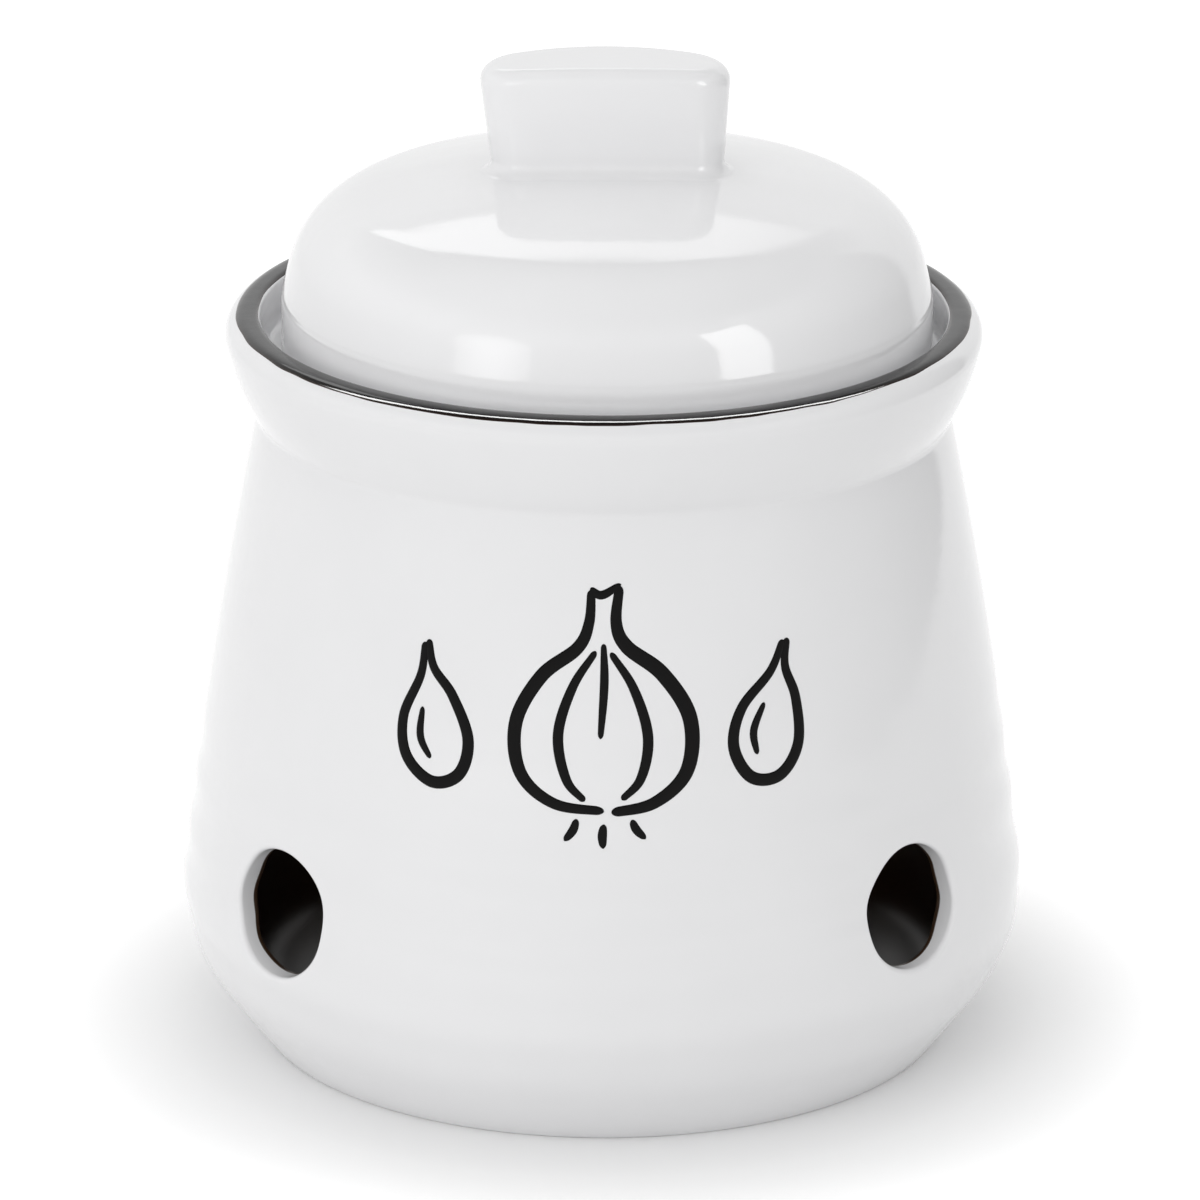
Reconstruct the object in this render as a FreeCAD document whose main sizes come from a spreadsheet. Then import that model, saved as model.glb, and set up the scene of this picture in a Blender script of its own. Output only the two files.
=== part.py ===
import FreeCAD, Part
import math
import os
from collections import namedtuple
from types import SimpleNamespace

import Sketcher

# A vented stoneware keeper: a jar that breathes through four holes, and a loose domed lid.
#
# The jar is jiggered: a foot ring, a low round belly, a wall that draws in to a crease at the neck,
# and a flared rim with a gallery turned inside it. A black glaze band lies in a shallow groove that
# runs over the lip. The lid's flange rests on the gallery's ledge, and its spigot hangs in the throat.
# The knob is pressed apart from the lid, with an oval foot bedded in the dome.
#
# Frame: millimetres, +Z up, origin at the centre of the foot on the table, front towards -Y.

OUT_FOLDER = "parts"
WHOLE_TURN = 360.0
TOLERANCE = 1e-3
SPREAD = (0.1, 0.35, 0.6, 0.85)

# alias, value, what it is
SIZES = [
    # jar, outside
    ("belly_radius", 60.9, "largest outer radius"),
    ("belly_arc", 22.9, "radius of the belly's round, in section"),
    ("belly_slope_angle", 37.5, "degrees from upright of the side between foot and belly"),
    ("belly_rise", 15.5, "from the floor inside up to the belly's widest height"),
    ("wall_arc", 840.0, "radius of the wall's slight bow, in section"),
    ("neck_radius", 49.6, "outer radius at the crease under the rim"),
    ("neck_height", 92.6, "height of that crease"),
    ("rim_flare", 4.5, "how far the rim stands out past the crease"),
    ("flare_arc", 32.0, "radius of the flare under the rim, in section"),
    ("rim_rise", 14.6, "from that crease up to the lip's top"),
    ("lip_round", 3.0, "radius of the lip's outer roll"),
    ("lip_flat", 1.35, "level stretch on top of the lip"),
    ("lip_inner_round", 0.9, "radius of the lip's inner edge"),
    # jar, inside
    ("wall", 3.8, "thickness of the wall at the belly"),
    ("base_thickness", 5.0, "thickness of the base above the foot's recess"),
    ("floor_round", 8.0, "radius between floor and side"),
    ("ledge_depth", 6.5, "from the lip's top down to the gallery's ledge"),
    ("gallery_round", 0.8, "radius in the gallery's inner corner"),
    ("ledge_round", 0.6, "radius on the ledge's edge"),
    # foot
    ("foot_ring", 4.6, "width of the foot ring"),
    ("foot_recess", 2.0, "height of the recess inside the foot ring"),
    ("foot_round", 1.0, "radius on the foot ring's edges"),
    # vents
    ("vent_radius", 9.0, "radius of a vent"),
    ("vent_height", 30.3, "height of the vents' axes"),
    ("vent_azimuth", 49.7, "degrees from front or back round to a vent"),
    ("vent_round", 0.9, "radius on a vent's edges"),
    # glaze band
    ("band_thickness", 0.3, "thickness of the black band"),
    ("band_outer_angle", 66.0, "degrees up the outer roll where the band starts"),
    ("band_inner_angle", 35.0, "degrees up the inner edge where the band ends"),
    # lid
    ("lid_gap", 2.45, "between the flange and the gallery's wall"),
    ("lid_seat", 2.8, "width of ledge under the flange"),
    ("spigot_gap", 1.0, "between the spigot and the throat"),
    ("spigot_depth", 5.5, "how far the spigot hangs below the ledge"),
    ("spigot_clear", 1.5, "throat left below the spigot"),
    ("spigot_wall", 3.4, "thickness of the spigot"),
    ("spigot_round", 0.9, "radius on the spigot's edges"),
    ("flange_height", 8.1, "height of the flange above the ledge"),
    ("flange_step", 0.35, "how far the crease above the flange is let in"),
    ("flange_round", 0.7, "radius on the flange's edges"),
    ("dome_draw", 0.4, "how far the dome's wall draws in above that crease"),
    ("dome_rise", 19.95, "from the crease up to the top of the dome"),
    ("dome_shoulder", 13.9, "radius of the dome's shoulder, in section"),
    ("dome_crown", 150.0, "radius of the dome's top, in section"),
    ("lid_wall", 4.2, "thickness of the dome"),
    # knob
    ("knob_length", 36.0, "length of the knob at its top"),
    ("knob_width", 15.6, "width of the knob at its top"),
    ("knob_side", 60.0, "radius of the knob's long sides, seen from above"),
    ("knob_draw", 1.5, "how far each side draws in from top to foot"),
    ("knob_height", 15.6, "height of the knob above the dome's top"),
    ("knob_crown", 140.0, "radius of the knob's top along its length"),
    ("knob_top_round", 2.3, "radius on the knob's top edge"),
    ("knob_foot_round", 1.8, "radius of the slip fillet round the foot"),
    ("knob_margin", 0.6, "foot left outside that fillet"),
    ("knob_bed", 0.4, "depth of the foot's bed where it is shallowest"),
]


class Size:
    """A length or an angle: its number, and the expression on the sheet that gives it."""

    def __init__(self, number, text):
        self.number = number
        self.text = text

    def __add__(self, other):
        return Size(self.number + other.number, f"({self.text} + {other.text})")

    def __sub__(self, other):
        return Size(self.number - other.number, f"({self.text} - {other.text})")

    def __mul__(self, other):
        return Size(self.number * other.number, f"({self.text} * {other.text})")

    def __truediv__(self, other):
        return Size(self.number / other.number, f"({self.text} / {other.text})")


def half(length):
    return Size(length.number / 2, f"({length.text} / 2)")


def root(square):
    return Size(math.sqrt(square.number), f"sqrt({square.text})")


def cosine(angle):
    return Size(math.cos(math.radians(angle.number)), f"cos({angle.text})")


def sine(angle):
    return Size(math.sin(math.radians(angle.number)), f"sin({angle.text})")


def lesser(one, other):
    return Size(min(one.number, other.number), f"min({one.text}; {other.text})")


def sagitta(radius, half_chord):
    """How far an arc rises over its chord."""
    return radius - root(radius * radius - half_chord * half_chord)


ZERO = Size(0.0, "0")
# The most of a wall's thickness that one rounded edge may take.
EDGE_SHARE = Size(0.4, "0.4")

doc = FreeCAD.newDocument("vented_keeper")
sheet = doc.addObject("Spreadsheet::Sheet", "Sizes")
for row, (alias, value, note) in enumerate(SIZES, start=1):
    sheet.set(f"A{row}", alias)
    sheet.set(f"B{row}", str(value))
    sheet.setAlias(f"B{row}", alias)
    sheet.set(f"C{row}", note)
doc.recompute()
size = SimpleNamespace(**{alias: Size(float(sheet.get(alias)), f"Sizes.{alias}") for alias, _, _ in SIZES})


# Outlines -----------------------------------------------------------------------------------------
# A closed outline is a list of points and stretches in turn, with the solid on the left.
# x of None lies on the turning axis. A Blend is a smooth joint, near the place given in numbers.

Corner = namedtuple("Corner", "x y")
Blend = namedtuple("Blend", "x y")
Line = namedtuple("Line", "")
Arc = namedtuple("Arc", "turn radius centre_x centre_y", defaults=(None, None, None))
LEFT = "left"
RIGHT = "right"
ON_AXIS = "axis"
# The sketcher's own numbers for the places on an edge, and for the origin and the upright axis.
START, END, CENTRE = range(1, 4)
ORIGIN = (-1, 1)
UPRIGHT_AXIS = (-2,)


def number_of(coordinate):
    if coordinate is None or coordinate == ON_AXIS:
        return 0.0
    return getattr(coordinate, "number", coordinate)


def place_of(point):
    return FreeCAD.Vector(number_of(point.x), number_of(point.y), 0)


def centre_of(start, end, arc):
    """The arc's centre: as given where both coordinates are, else to the side that it turns to."""
    if arc.radius is None:
        return FreeCAD.Vector(number_of(arc.centre_x), number_of(arc.centre_y), 0)
    chord = end - start
    to_left = FreeCAD.Vector(-chord.y, chord.x, 0).normalize()
    reach = math.sqrt(max(arc.radius.number**2 - (chord.Length / 2) ** 2, 0))
    if arc.turn == RIGHT:
        reach = -reach
    return start + chord * 0.5 + to_left * reach


def stretch_shape(start, end, way):
    """The edge's geometry, and the names of its first and last point in the outline's direction."""
    if isinstance(way, Line):
        return Part.LineSegment(start, end), (START, END)
    centre = centre_of(start, end, way)
    circle = Part.Circle(centre, FreeCAD.Vector(0, 0, 1), (start - centre).Length)
    first = math.atan2(start.y - centre.y, start.x - centre.x)
    last = math.atan2(end.y - centre.y, end.x - centre.x)
    if way.turn == LEFT:
        return Part.ArcOfCircle(circle, first, last), (START, END)
    return Part.ArcOfCircle(circle, last, first), (END, START)


def bind_place(sketch, edge, which, x, y):
    """Ties a point to its sizes, or to the turning axis."""
    if x is None or x == ON_AXIS:
        sketch.addConstraint(Sketcher.Constraint("PointOnObject", edge, which, *UPRIGHT_AXIS))
    else:
        index = sketch.addConstraint(Sketcher.Constraint("DistanceX", *ORIGIN, edge, which, x.number))
        sketch.setExpression(f"Constraints[{index}]", x.text)
    if y is not None:
        index = sketch.addConstraint(Sketcher.Constraint("DistanceY", *ORIGIN, edge, which, y.number))
        sketch.setExpression(f"Constraints[{index}]", y.text)


def origin_plane(body, role):
    return next(item for item in body.Origin.OriginFeatures if item.Role == role)


def new_sketch(body, name, role):
    """A sketch on one of the body's own origin planes."""
    sketch = body.newObject("Sketcher::SketchObject", name)
    sketch.AttachmentSupport = [(origin_plane(body, role), "")]
    sketch.MapMode = "FlatFace"
    return sketch


def draw_outline(body, name, role, outline):
    """A sketch of a closed outline, each point and stretch tied to its sizes."""
    sketch = new_sketch(body, name, role)
    points = outline[0::2]
    ways = outline[1::2]
    ends = []
    for index, way in enumerate(ways):
        start = place_of(points[index])
        end = place_of(points[(index + 1) % len(points)])
        edge, named_ends = stretch_shape(start, end, way)
        sketch.addGeometry(edge, False)
        ends.append(named_ends)
    for index, point in enumerate(points):
        before = (index - 1) % len(points)
        joint = (before, ends[before][1], index, ends[index][0])
        if isinstance(point, Blend):
            sketch.addConstraint(Sketcher.Constraint("Tangent", *joint))
        else:
            sketch.addConstraint(Sketcher.Constraint("Coincident", *joint))
            bind_place(sketch, index, ends[index][0], point.x, point.y)
    for index, way in enumerate(ways):
        if isinstance(way, Line):
            continue
        if way.radius is not None:
            constraint = sketch.addConstraint(Sketcher.Constraint("Radius", index, way.radius.number))
            sketch.setExpression(f"Constraints[{constraint}]", way.radius.text)
        if way.centre_x is not None:
            bind_place(sketch, index, CENTRE, way.centre_x, way.centre_y)
    return sketch


def touch_inside(point, centre, small, large):
    """Where a circle round `centre` touches, from inside, the larger circle that runs through
    `point` with its own centre nearer the axis."""
    x, y = number_of(point.x), number_of(point.y)
    across_x, across_y = centre.x - x, centre.y - y
    apart = math.hypot(across_x, across_y)
    along = (large**2 - (large - small) ** 2 + apart**2) / (2 * apart)
    off = math.sqrt(large**2 - along**2)
    candidates = []
    for aside in (off, -off):
        large_x = x + (along * across_x - aside * across_y) / apart
        large_y = y + (along * across_y + aside * across_x) / apart
        candidates.append((large_x, large_y))
    large_x, large_y = min(candidates)
    reach = large / math.hypot(centre.x - large_x, centre.y - large_y)
    return Blend(large_x + (centre.x - large_x) * reach, large_y + (centre.y - large_y) * reach)


def touch_from_below(point, centre, radius):
    """Where the line up from `point` touches the outer side of a circle."""
    across_x, across_y = number_of(point.x) - centre.x, number_of(point.y) - centre.y
    apart = math.hypot(across_x, across_y)
    heading = math.atan2(across_y, across_x) + math.acos(radius / apart)
    return Blend(centre.x + radius * math.cos(heading), centre.y + radius * math.sin(heading))


# Features -----------------------------------------------------------------------------------------


def new_body(name, height=None):
    """A body whose label names the sub-part, placed at its height."""
    body = doc.addObject("PartDesign::Body", name)
    body.Label = name
    if height is not None:
        body.setExpression("Placement.Base.z", height.text)
    return body


def must_stand(feature):
    """Stops the build where a feature has failed without a word."""
    if "Invalid" in feature.State or "Error" in feature.State:
        raise ValueError(f"{feature.Label} failed: {feature.State}")


def must_cut(body, before):
    """Stops the build where a cut left the solid as it was."""
    if body.Shape.Volume > before - TOLERANCE:
        raise ValueError(f"{body.Tip.Label} cuts nothing")


def turn_solid(body, name, outline):
    """A solid of revolution from an outline drawn on the upright plane."""
    sketch = draw_outline(body, f"{name}_section", "XZ_Plane", outline)
    solid = body.newObject("PartDesign::Revolution", name)
    solid.Profile = sketch
    solid.ReferenceAxis = (sketch, ["V_Axis"])
    solid.Angle = WHOLE_TURN
    doc.recompute()
    must_stand(solid)


def round_edges(body, name, radius, wanted):
    """Rounds the edges of the body's last feature that the test picks out."""
    base = body.Tip
    edges = [f"Edge{index}" for index, edge in enumerate(base.Shape.Edges, start=1) if wanted(edge)]
    if not edges:
        raise ValueError(f"{name} finds no edge")
    rounding = body.newObject("PartDesign::Fillet", name)
    rounding.Base = (base, edges)
    rounding.setExpression("Radius", radius.text)
    doc.recompute()
    must_stand(rounding)


def cut_across(body, name, outline):
    """Cuts an upright outline straight through the body, both ways."""
    before = body.Shape.Volume
    cut = body.newObject("PartDesign::Pocket", name)
    cut.Profile = draw_outline(body, f"{name}_outline", "XZ_Plane", outline)
    cut.Type = "ThroughAll"
    cut.SideType = "Symmetric"
    doc.recompute()
    must_stand(cut)
    must_cut(body, before)


def turn_away(body, name, outline):
    """Cuts an outline turned about the axis out of the body."""
    before = body.Shape.Volume
    sketch = draw_outline(body, f"{name}_section", "XZ_Plane", outline)
    cut = body.newObject("PartDesign::Groove", name)
    cut.Profile = sketch
    cut.ReferenceAxis = (sketch, ["V_Axis"])
    cut.Angle = WHOLE_TURN
    doc.recompute()
    must_stand(cut)
    must_cut(body, before)


def places_on(edge):
    """Places spread along an edge, none of them at its ends."""
    span = edge.LastParameter - edge.FirstParameter
    return [edge.valueAt(edge.FirstParameter + span * share) for share in SPREAD]


def ring_at(radius, height):
    """A test for the round edge of that radius at that height."""

    def wanted(edge):
        if edge.Degenerated or not isinstance(edge.Curve, Part.Circle):
            return False
        same_radius = abs(edge.Curve.Radius - radius.number) < TOLERANCE
        return same_radius and abs(edge.Curve.Center.z - height.number) < TOLERANCE

    return wanted


# Places that more than one sub-part uses ----------------------------------------------------------

rim_radius = size.neck_radius + size.rim_flare
rim_height = size.neck_height + size.rim_rise
roll_centre = rim_radius - size.lip_round
roll_height = rim_height - size.lip_round
edge_centre = roll_centre - size.lip_flat
edge_height = rim_height - size.lip_inner_round
gallery_radius = edge_centre - size.lip_inner_round
ledge_height = rim_height - size.ledge_depth
flange_radius = gallery_radius - size.lid_gap
throat_radius = flange_radius - size.lid_seat
spigot_radius = throat_radius - size.spigot_gap

crease_radius = flange_radius - size.flange_step
dome_radius = crease_radius - size.dome_draw
dome_top = size.flange_height + size.dome_rise
foot_half_length = half(size.knob_length) - size.knob_draw
foot_half_width = half(size.knob_width) - size.knob_draw
knob_skirt = size.knob_foot_round + size.knob_margin
bed_depth = sagitta(size.dome_crown, foot_half_length + knob_skirt) + size.knob_bed
bed_height = dome_top - bed_depth


def roll_point(depth):
    """Where the band starts on the outer roll, at a depth under the lip's surface."""
    reach = size.lip_round - depth
    return Corner(
        roll_centre + reach * cosine(size.band_outer_angle),
        roll_height + reach * sine(size.band_outer_angle),
    )


def edge_point(depth):
    """Where the band ends on the inner edge, at a depth under the lip's surface."""
    reach = size.lip_inner_round - depth
    return Corner(
        edge_centre - reach * cosine(size.band_inner_angle),
        edge_height + reach * sine(size.band_inner_angle),
    )


def oval(long_half, short_half):
    """A four-arc oval about the origin: two flat sides and two round ends."""
    side = size.knob_side
    # The end arc's radius, for which it runs into the side arcs without a corner.
    excess = long_half * long_half + (side - short_half) * (side - short_half) - side * side
    end = half(excess / (long_half - side))
    lean = (side - short_half) / (side - end)
    end_centre = long_half - end
    joint_y = end * lean
    joint_x = end_centre + root(end * end - joint_y * joint_y)
    return [
        Corner(joint_x, ZERO - joint_y),
        Arc(LEFT, radius=end),
        Corner(joint_x, joint_y),
        Arc(LEFT, radius=side),
        Corner(ZERO - joint_x, joint_y),
        Arc(LEFT, radius=end),
        Corner(ZERO - joint_x, ZERO - joint_y),
        Arc(LEFT, radius=side),
    ]


def foot_oval():
    """The outline of the knob's foot, and of its bed in the dome."""
    return oval(foot_half_length + knob_skirt, foot_half_width + knob_skirt)


def above_arc(radius, height, ceiling, first_x, last_x):
    """What lies above an arc that peaks on the axis, between two distances from it."""
    edge_height = height - sagitta(radius, last_x)
    first_height = height if first_x is None else edge_height
    return [
        Corner(first_x, first_height),
        Arc(RIGHT, radius=radius),
        Corner(last_x, edge_height),
        Line(),
        Corner(last_x, ceiling),
        Line(),
        Corner(first_x, ceiling),
        Line(),
    ]


# Sub-parts ----------------------------------------------------------------------------------------


def jar_outline():
    """The jar's section, from the axis out under the foot, up the outside, over the lip and back."""
    floor_height = size.foot_recess + size.base_thickness
    belly_height = floor_height + size.belly_rise
    belly_centre = size.belly_radius - size.belly_arc
    inner_arc = size.belly_arc - size.wall
    slope_cosine = cosine(size.belly_slope_angle)
    slope_sine = sine(size.belly_slope_angle)
    slope = slope_sine / slope_cosine
    foot_radius = belly_centre + size.belly_arc / slope_cosine - belly_height * slope
    recess_radius = foot_radius - size.foot_ring
    floor_radius = belly_centre + inner_arc / slope_cosine - size.belly_rise * slope
    throat_bottom = ledge_height - size.spigot_depth - size.spigot_clear
    band_top = rim_height - size.band_thickness

    belly = FreeCAD.Vector(belly_centre.number, belly_height.number, 0)
    roll = FreeCAD.Vector(roll_centre.number, roll_height.number, 0)
    neck = Corner(size.neck_radius, size.neck_height)
    throat = Corner(throat_radius, throat_bottom)
    outer_joint = touch_inside(neck, belly, size.belly_arc.number, size.wall_arc.number)
    rim_joint = touch_inside(neck, roll, size.lip_round.number, size.flare_arc.number)
    inner_joint = touch_inside(throat, belly, inner_arc.number, size.wall_arc.number)
    outline = [
        Corner(None, size.foot_recess),
        Line(),
        Corner(recess_radius, size.foot_recess),
        Line(),
        Corner(recess_radius, ZERO),
        Line(),
        Corner(foot_radius, ZERO),
        Line(),
        Corner(
            belly_centre + size.belly_arc * slope_cosine,
            belly_height - size.belly_arc * slope_sine,
        ),
        Arc(LEFT, centre_x=belly_centre, centre_y=belly_height),
        outer_joint,
        Arc(LEFT, radius=size.wall_arc),
        neck,
        Arc(LEFT, radius=size.flare_arc),
        rim_joint,
        Arc(LEFT, centre_x=roll_centre, centre_y=roll_height),
        roll_point(ZERO),
        Line(),
        roll_point(size.band_thickness),
        Arc(LEFT, radius=size.lip_round - size.band_thickness),
        Corner(roll_centre, band_top),
        Line(),
        Corner(edge_centre, band_top),
        Arc(LEFT, radius=size.lip_inner_round - size.band_thickness),
        edge_point(size.band_thickness),
        Line(),
        edge_point(ZERO),
        Arc(LEFT, radius=size.lip_inner_round),
        Corner(gallery_radius, edge_height),
        Line(),
        Corner(gallery_radius, ledge_height),
        Line(),
        Corner(throat_radius, ledge_height),
        Line(),
        throat,
        Arc(RIGHT, radius=size.wall_arc),
        inner_joint,
        Arc(RIGHT, centre_x=belly_centre, centre_y=belly_height),
        Corner(
            belly_centre + inner_arc * slope_cosine,
            belly_height - inner_arc * slope_sine,
        ),
        Line(),
        Corner(floor_radius, floor_height),
        Line(),
        Corner(None, floor_height),
        Line(),
    ]
    rounds = {
        "foot": (foot_radius, ZERO),
        "recess": (recess_radius, ZERO),
        "recess_corner": (recess_radius, size.foot_recess),
        "floor": (floor_radius, floor_height),
        "gallery": (gallery_radius, ledge_height),
        "ledge": (throat_radius, ledge_height),
    }
    return outline, rounds


def cut_vents(body):
    """Bores two vents straight across the jar, and mirrors them into the other two."""
    before = body.Shape.Volume
    circle = new_sketch(body, "vent_circle", "XZ_Plane")
    circle.AttachmentOffset = FreeCAD.Placement(
        FreeCAD.Vector(), FreeCAD.Rotation(FreeCAD.Vector(0, 1, 0), size.vent_azimuth.number)
    )
    circle.setExpression("AttachmentOffset.Rotation.Angle", size.vent_azimuth.text)
    centre = FreeCAD.Vector(0, size.vent_height.number, 0)
    circle.addGeometry(Part.Circle(centre, FreeCAD.Vector(0, 0, 1), size.vent_radius.number), False)
    bind_place(circle, 0, CENTRE, None, size.vent_height)
    index = circle.addConstraint(Sketcher.Constraint("Radius", 0, size.vent_radius.number))
    circle.setExpression(f"Constraints[{index}]", size.vent_radius.text)
    bore = body.newObject("PartDesign::Pocket", "vent_bore")
    bore.Profile = circle
    bore.Type = "ThroughAll"
    bore.SideType = "Symmetric"
    doc.recompute()
    must_stand(bore)
    must_cut(body, before)
    after_one = body.Shape.Volume

    other_bore = body.newObject("PartDesign::Mirrored", "other_vent_bore")
    other_bore.Originals = [bore]
    other_bore.MirrorPlane = (origin_plane(body, "YZ_Plane"), [""])
    body.Tip = other_bore
    doc.recompute()
    must_stand(other_bore)
    must_cut(body, after_one)


def on_vent(edge):
    """True for an edge that lies on one of the two bores."""
    centre = FreeCAD.Vector(0, 0, size.vent_height.number)
    offsets = [place - centre for place in places_on(edge)]
    azimuth = math.radians(size.vent_azimuth.number)
    for side in (1, -1):
        axis = FreeCAD.Vector(side * math.sin(azimuth), -math.cos(azimuth), 0)
        reaches = [(offset - axis * offset.dot(axis)).Length for offset in offsets]
        if all(abs(reach - size.vent_radius.number) < TOLERANCE for reach in reaches):
            return True
    return False


def make_jar_body():
    """The jar: turned, pierced by its vents, and rounded where the clay is sponged."""
    body = new_body("jar_body")
    outline, rounds = jar_outline()
    turn_solid(body, "jar", outline)
    cut_vents(body)
    round_edges(body, "vent_edges", lesser(size.vent_round, size.wall * EDGE_SHARE), on_vent)
    foot_room = lesser(size.foot_ring, size.foot_recess) * EDGE_SHARE
    foot_round = lesser(size.foot_round, foot_room)
    round_edges(body, "foot_edge", foot_round, ring_at(*rounds["foot"]))
    round_edges(body, "recess_edge", foot_round, ring_at(*rounds["recess"]))
    round_edges(body, "recess_corner", foot_round, ring_at(*rounds["recess_corner"]))
    round_edges(body, "floor_corner", size.floor_round, ring_at(*rounds["floor"]))
    round_edges(body, "gallery_corner", size.gallery_round, ring_at(*rounds["gallery"]))
    round_edges(body, "ledge_edge", size.ledge_round, ring_at(*rounds["ledge"]))
    return body


def make_rim_band():
    """The black glaze band in its groove over the lip."""
    body = new_body("rim_band")
    thickness = size.band_thickness
    floor = rim_height - thickness
    turn_solid(body, "band", [
        roll_point(thickness),
        Line(),
        roll_point(ZERO),
        Arc(LEFT, radius=size.lip_round),
        Corner(roll_centre, rim_height),
        Line(),
        Corner(edge_centre, rim_height),
        Arc(LEFT, radius=size.lip_inner_round),
        edge_point(ZERO),
        Line(),
        edge_point(thickness),
        Arc(RIGHT, radius=size.lip_inner_round - thickness),
        Corner(edge_centre, floor),
        Line(),
        Corner(roll_centre, floor),
        Arc(RIGHT, radius=size.lip_round - thickness),
    ])
    return body


def lid_outline():
    """The lid's section above its seat, from the axis out under the dome, round and back over it."""
    shoulder_centre = dome_radius - size.dome_shoulder
    inner_shoulder = size.dome_shoulder - size.lid_wall
    inner_crown = size.dome_crown - size.lid_wall
    spigot_inner = spigot_radius - size.spigot_wall
    spigot_bottom = ZERO - size.spigot_depth
    round_drop = root(size.flange_step * (size.flange_round + size.flange_round - size.flange_step))

    crown_y = dome_top.number - size.dome_crown.number
    apart = size.dome_crown.number - size.dome_shoulder.number
    shoulder_y = crown_y + math.sqrt(apart**2 - shoulder_centre.number**2)
    shoulder = FreeCAD.Vector(shoulder_centre.number, shoulder_y, 0)
    spigot_edge = Corner(spigot_inner, spigot_bottom)
    crease = Corner(crease_radius, size.flange_height)

    def crown_joint(crown):
        """Where shoulder and crown meet, on the line through both centres."""
        reach = crown.number / apart
        return Blend(shoulder.x * reach, crown_y + (shoulder.y - crown_y) * reach)

    outline = [
        Corner(None, dome_top - size.lid_wall),
        Arc(RIGHT, radius=inner_crown, centre_x=ON_AXIS),
        crown_joint(inner_crown),
        Arc(RIGHT, radius=inner_shoulder, centre_x=shoulder_centre),
        touch_from_below(spigot_edge, shoulder, inner_shoulder.number),
        Line(),
        spigot_edge,
        Line(),
        Corner(spigot_radius, spigot_bottom),
        Line(),
        Corner(spigot_radius, ZERO),
        Line(),
        Corner(flange_radius, ZERO),
        Line(),
        Corner(flange_radius, size.flange_height - round_drop),
        Arc(LEFT, radius=size.flange_round),
        crease,
        Line(),
        touch_from_below(crease, shoulder, size.dome_shoulder.number),
        Arc(LEFT, radius=size.dome_shoulder, centre_x=shoulder_centre),
        crown_joint(size.dome_crown),
        Arc(LEFT, radius=size.dome_crown, centre_x=ON_AXIS),
        Corner(None, dome_top),
        Line(),
    ]
    rounds = {
        "spigot_inner": (spigot_inner, spigot_bottom),
        "spigot_outer": (spigot_radius, spigot_bottom),
        "flange": (flange_radius, ZERO),
    }
    return outline, rounds


def make_lid_dome():
    """The lid: turned with its flange and spigot, with the knob's bed pressed into its top."""
    body = new_body("lid_dome", ledge_height)
    outline, rounds = lid_outline()
    turn_solid(body, "dome", outline)
    spigot_round = lesser(size.spigot_round, size.spigot_wall * EDGE_SHARE)
    round_edges(body, "spigot_inner_edge", spigot_round, ring_at(*rounds["spigot_inner"]))
    round_edges(body, "spigot_outer_edge", spigot_round, ring_at(*rounds["spigot_outer"]))
    round_edges(body, "flange_edge", size.flange_round, ring_at(*rounds["flange"]))

    before = body.Shape.Volume
    bed_outline = draw_outline(body, "bed_outline", "XY_Plane", foot_oval())
    bed_outline.setExpression("AttachmentOffset.Base.z", bed_height.text)
    bed = body.newObject("PartDesign::Pocket", "knob_bed")
    bed.Profile = bed_outline
    bed.Type = "ThroughAll"
    bed.Reversed = True
    doc.recompute()
    must_cut(body, before)
    return body


def make_lid_knob():
    """The knob: an oval foot that follows the dome, and a drawn-in grip with a crowned top."""
    body = new_body("lid_knob", ledge_height + bed_height)
    top = bed_depth + size.knob_height

    foot = body.newObject("PartDesign::Pad", "foot")
    foot.Profile = draw_outline(body, "foot_outline", "XY_Plane", foot_oval())
    foot.setExpression("Length", top.text)
    doc.recompute()
    past_knob = size.knob_length
    turn_away(body, "foot_top", above_arc(size.dome_crown, bed_depth, top, None, past_knob))

    grip = body.newObject("PartDesign::AdditiveLoft", "grip")
    grip.Profile = draw_outline(body, "grip_foot", "XY_Plane", oval(foot_half_length, foot_half_width))
    grip_top = draw_outline(
        body, "grip_top", "XY_Plane", oval(half(size.knob_length), half(size.knob_width))
    )
    grip_top.setExpression("AttachmentOffset.Base.z", top.text)
    grip.Sections = [(grip_top, [""])]
    grip.Ruled = True
    doc.recompute()
    must_stand(grip)
    over_knob = top + size.knob_height
    grip_crown = above_arc(size.knob_crown, top, over_knob, ZERO - past_knob, past_knob)
    cut_across(body, "grip_crown", grip_crown)

    def on_crown(edge):
        """True for an edge of the grip's crowned top."""
        crown = FreeCAD.Vector(0, 0, (top - size.knob_crown).number)
        reaches = [math.hypot(place.x, place.z - crown.z) for place in places_on(edge)]
        return all(abs(reach - size.knob_crown.number) < TOLERANCE for reach in reaches)

    def on_foot(edge):
        """True for an edge where the grip meets the foot's domed top."""
        dome = FreeCAD.Vector(0, 0, (bed_depth - size.dome_crown).number)
        long_limit = (foot_half_length + half(knob_skirt)).number
        short_limit = (foot_half_width + half(knob_skirt)).number
        return all(
            abs((place - dome).Length - size.dome_crown.number) < TOLERANCE
            and abs(place.x) < long_limit
            and abs(place.y) < short_limit
            for place in places_on(edge)
        )

    round_edges(body, "slip_fillet", size.knob_foot_round, on_foot)
    round_edges(body, "top_edge", size.knob_top_round, on_crown)
    return body


BODIES = [make_jar_body(), make_rim_band(), make_lid_dome(), make_lid_knob()]
doc.recompute()
for item in doc.Objects:
    must_stand(item)
os.makedirs(OUT_FOLDER, exist_ok=True)
for body in BODIES:
    if body.Shape.isNull() or not body.Shape.isValid():
        raise ValueError(f"{body.Label} has no valid shape")
for body in BODIES:
    body.Shape.exportStep(f"{OUT_FOLDER}/{body.Label}.step")
    print(f"{body.Label}: {body.Shape.Volume:.1f} mm3, {len(body.Shape.Solids)} solid")
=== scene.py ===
import math

import bpy
import numpy as np
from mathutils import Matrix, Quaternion, Vector


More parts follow.
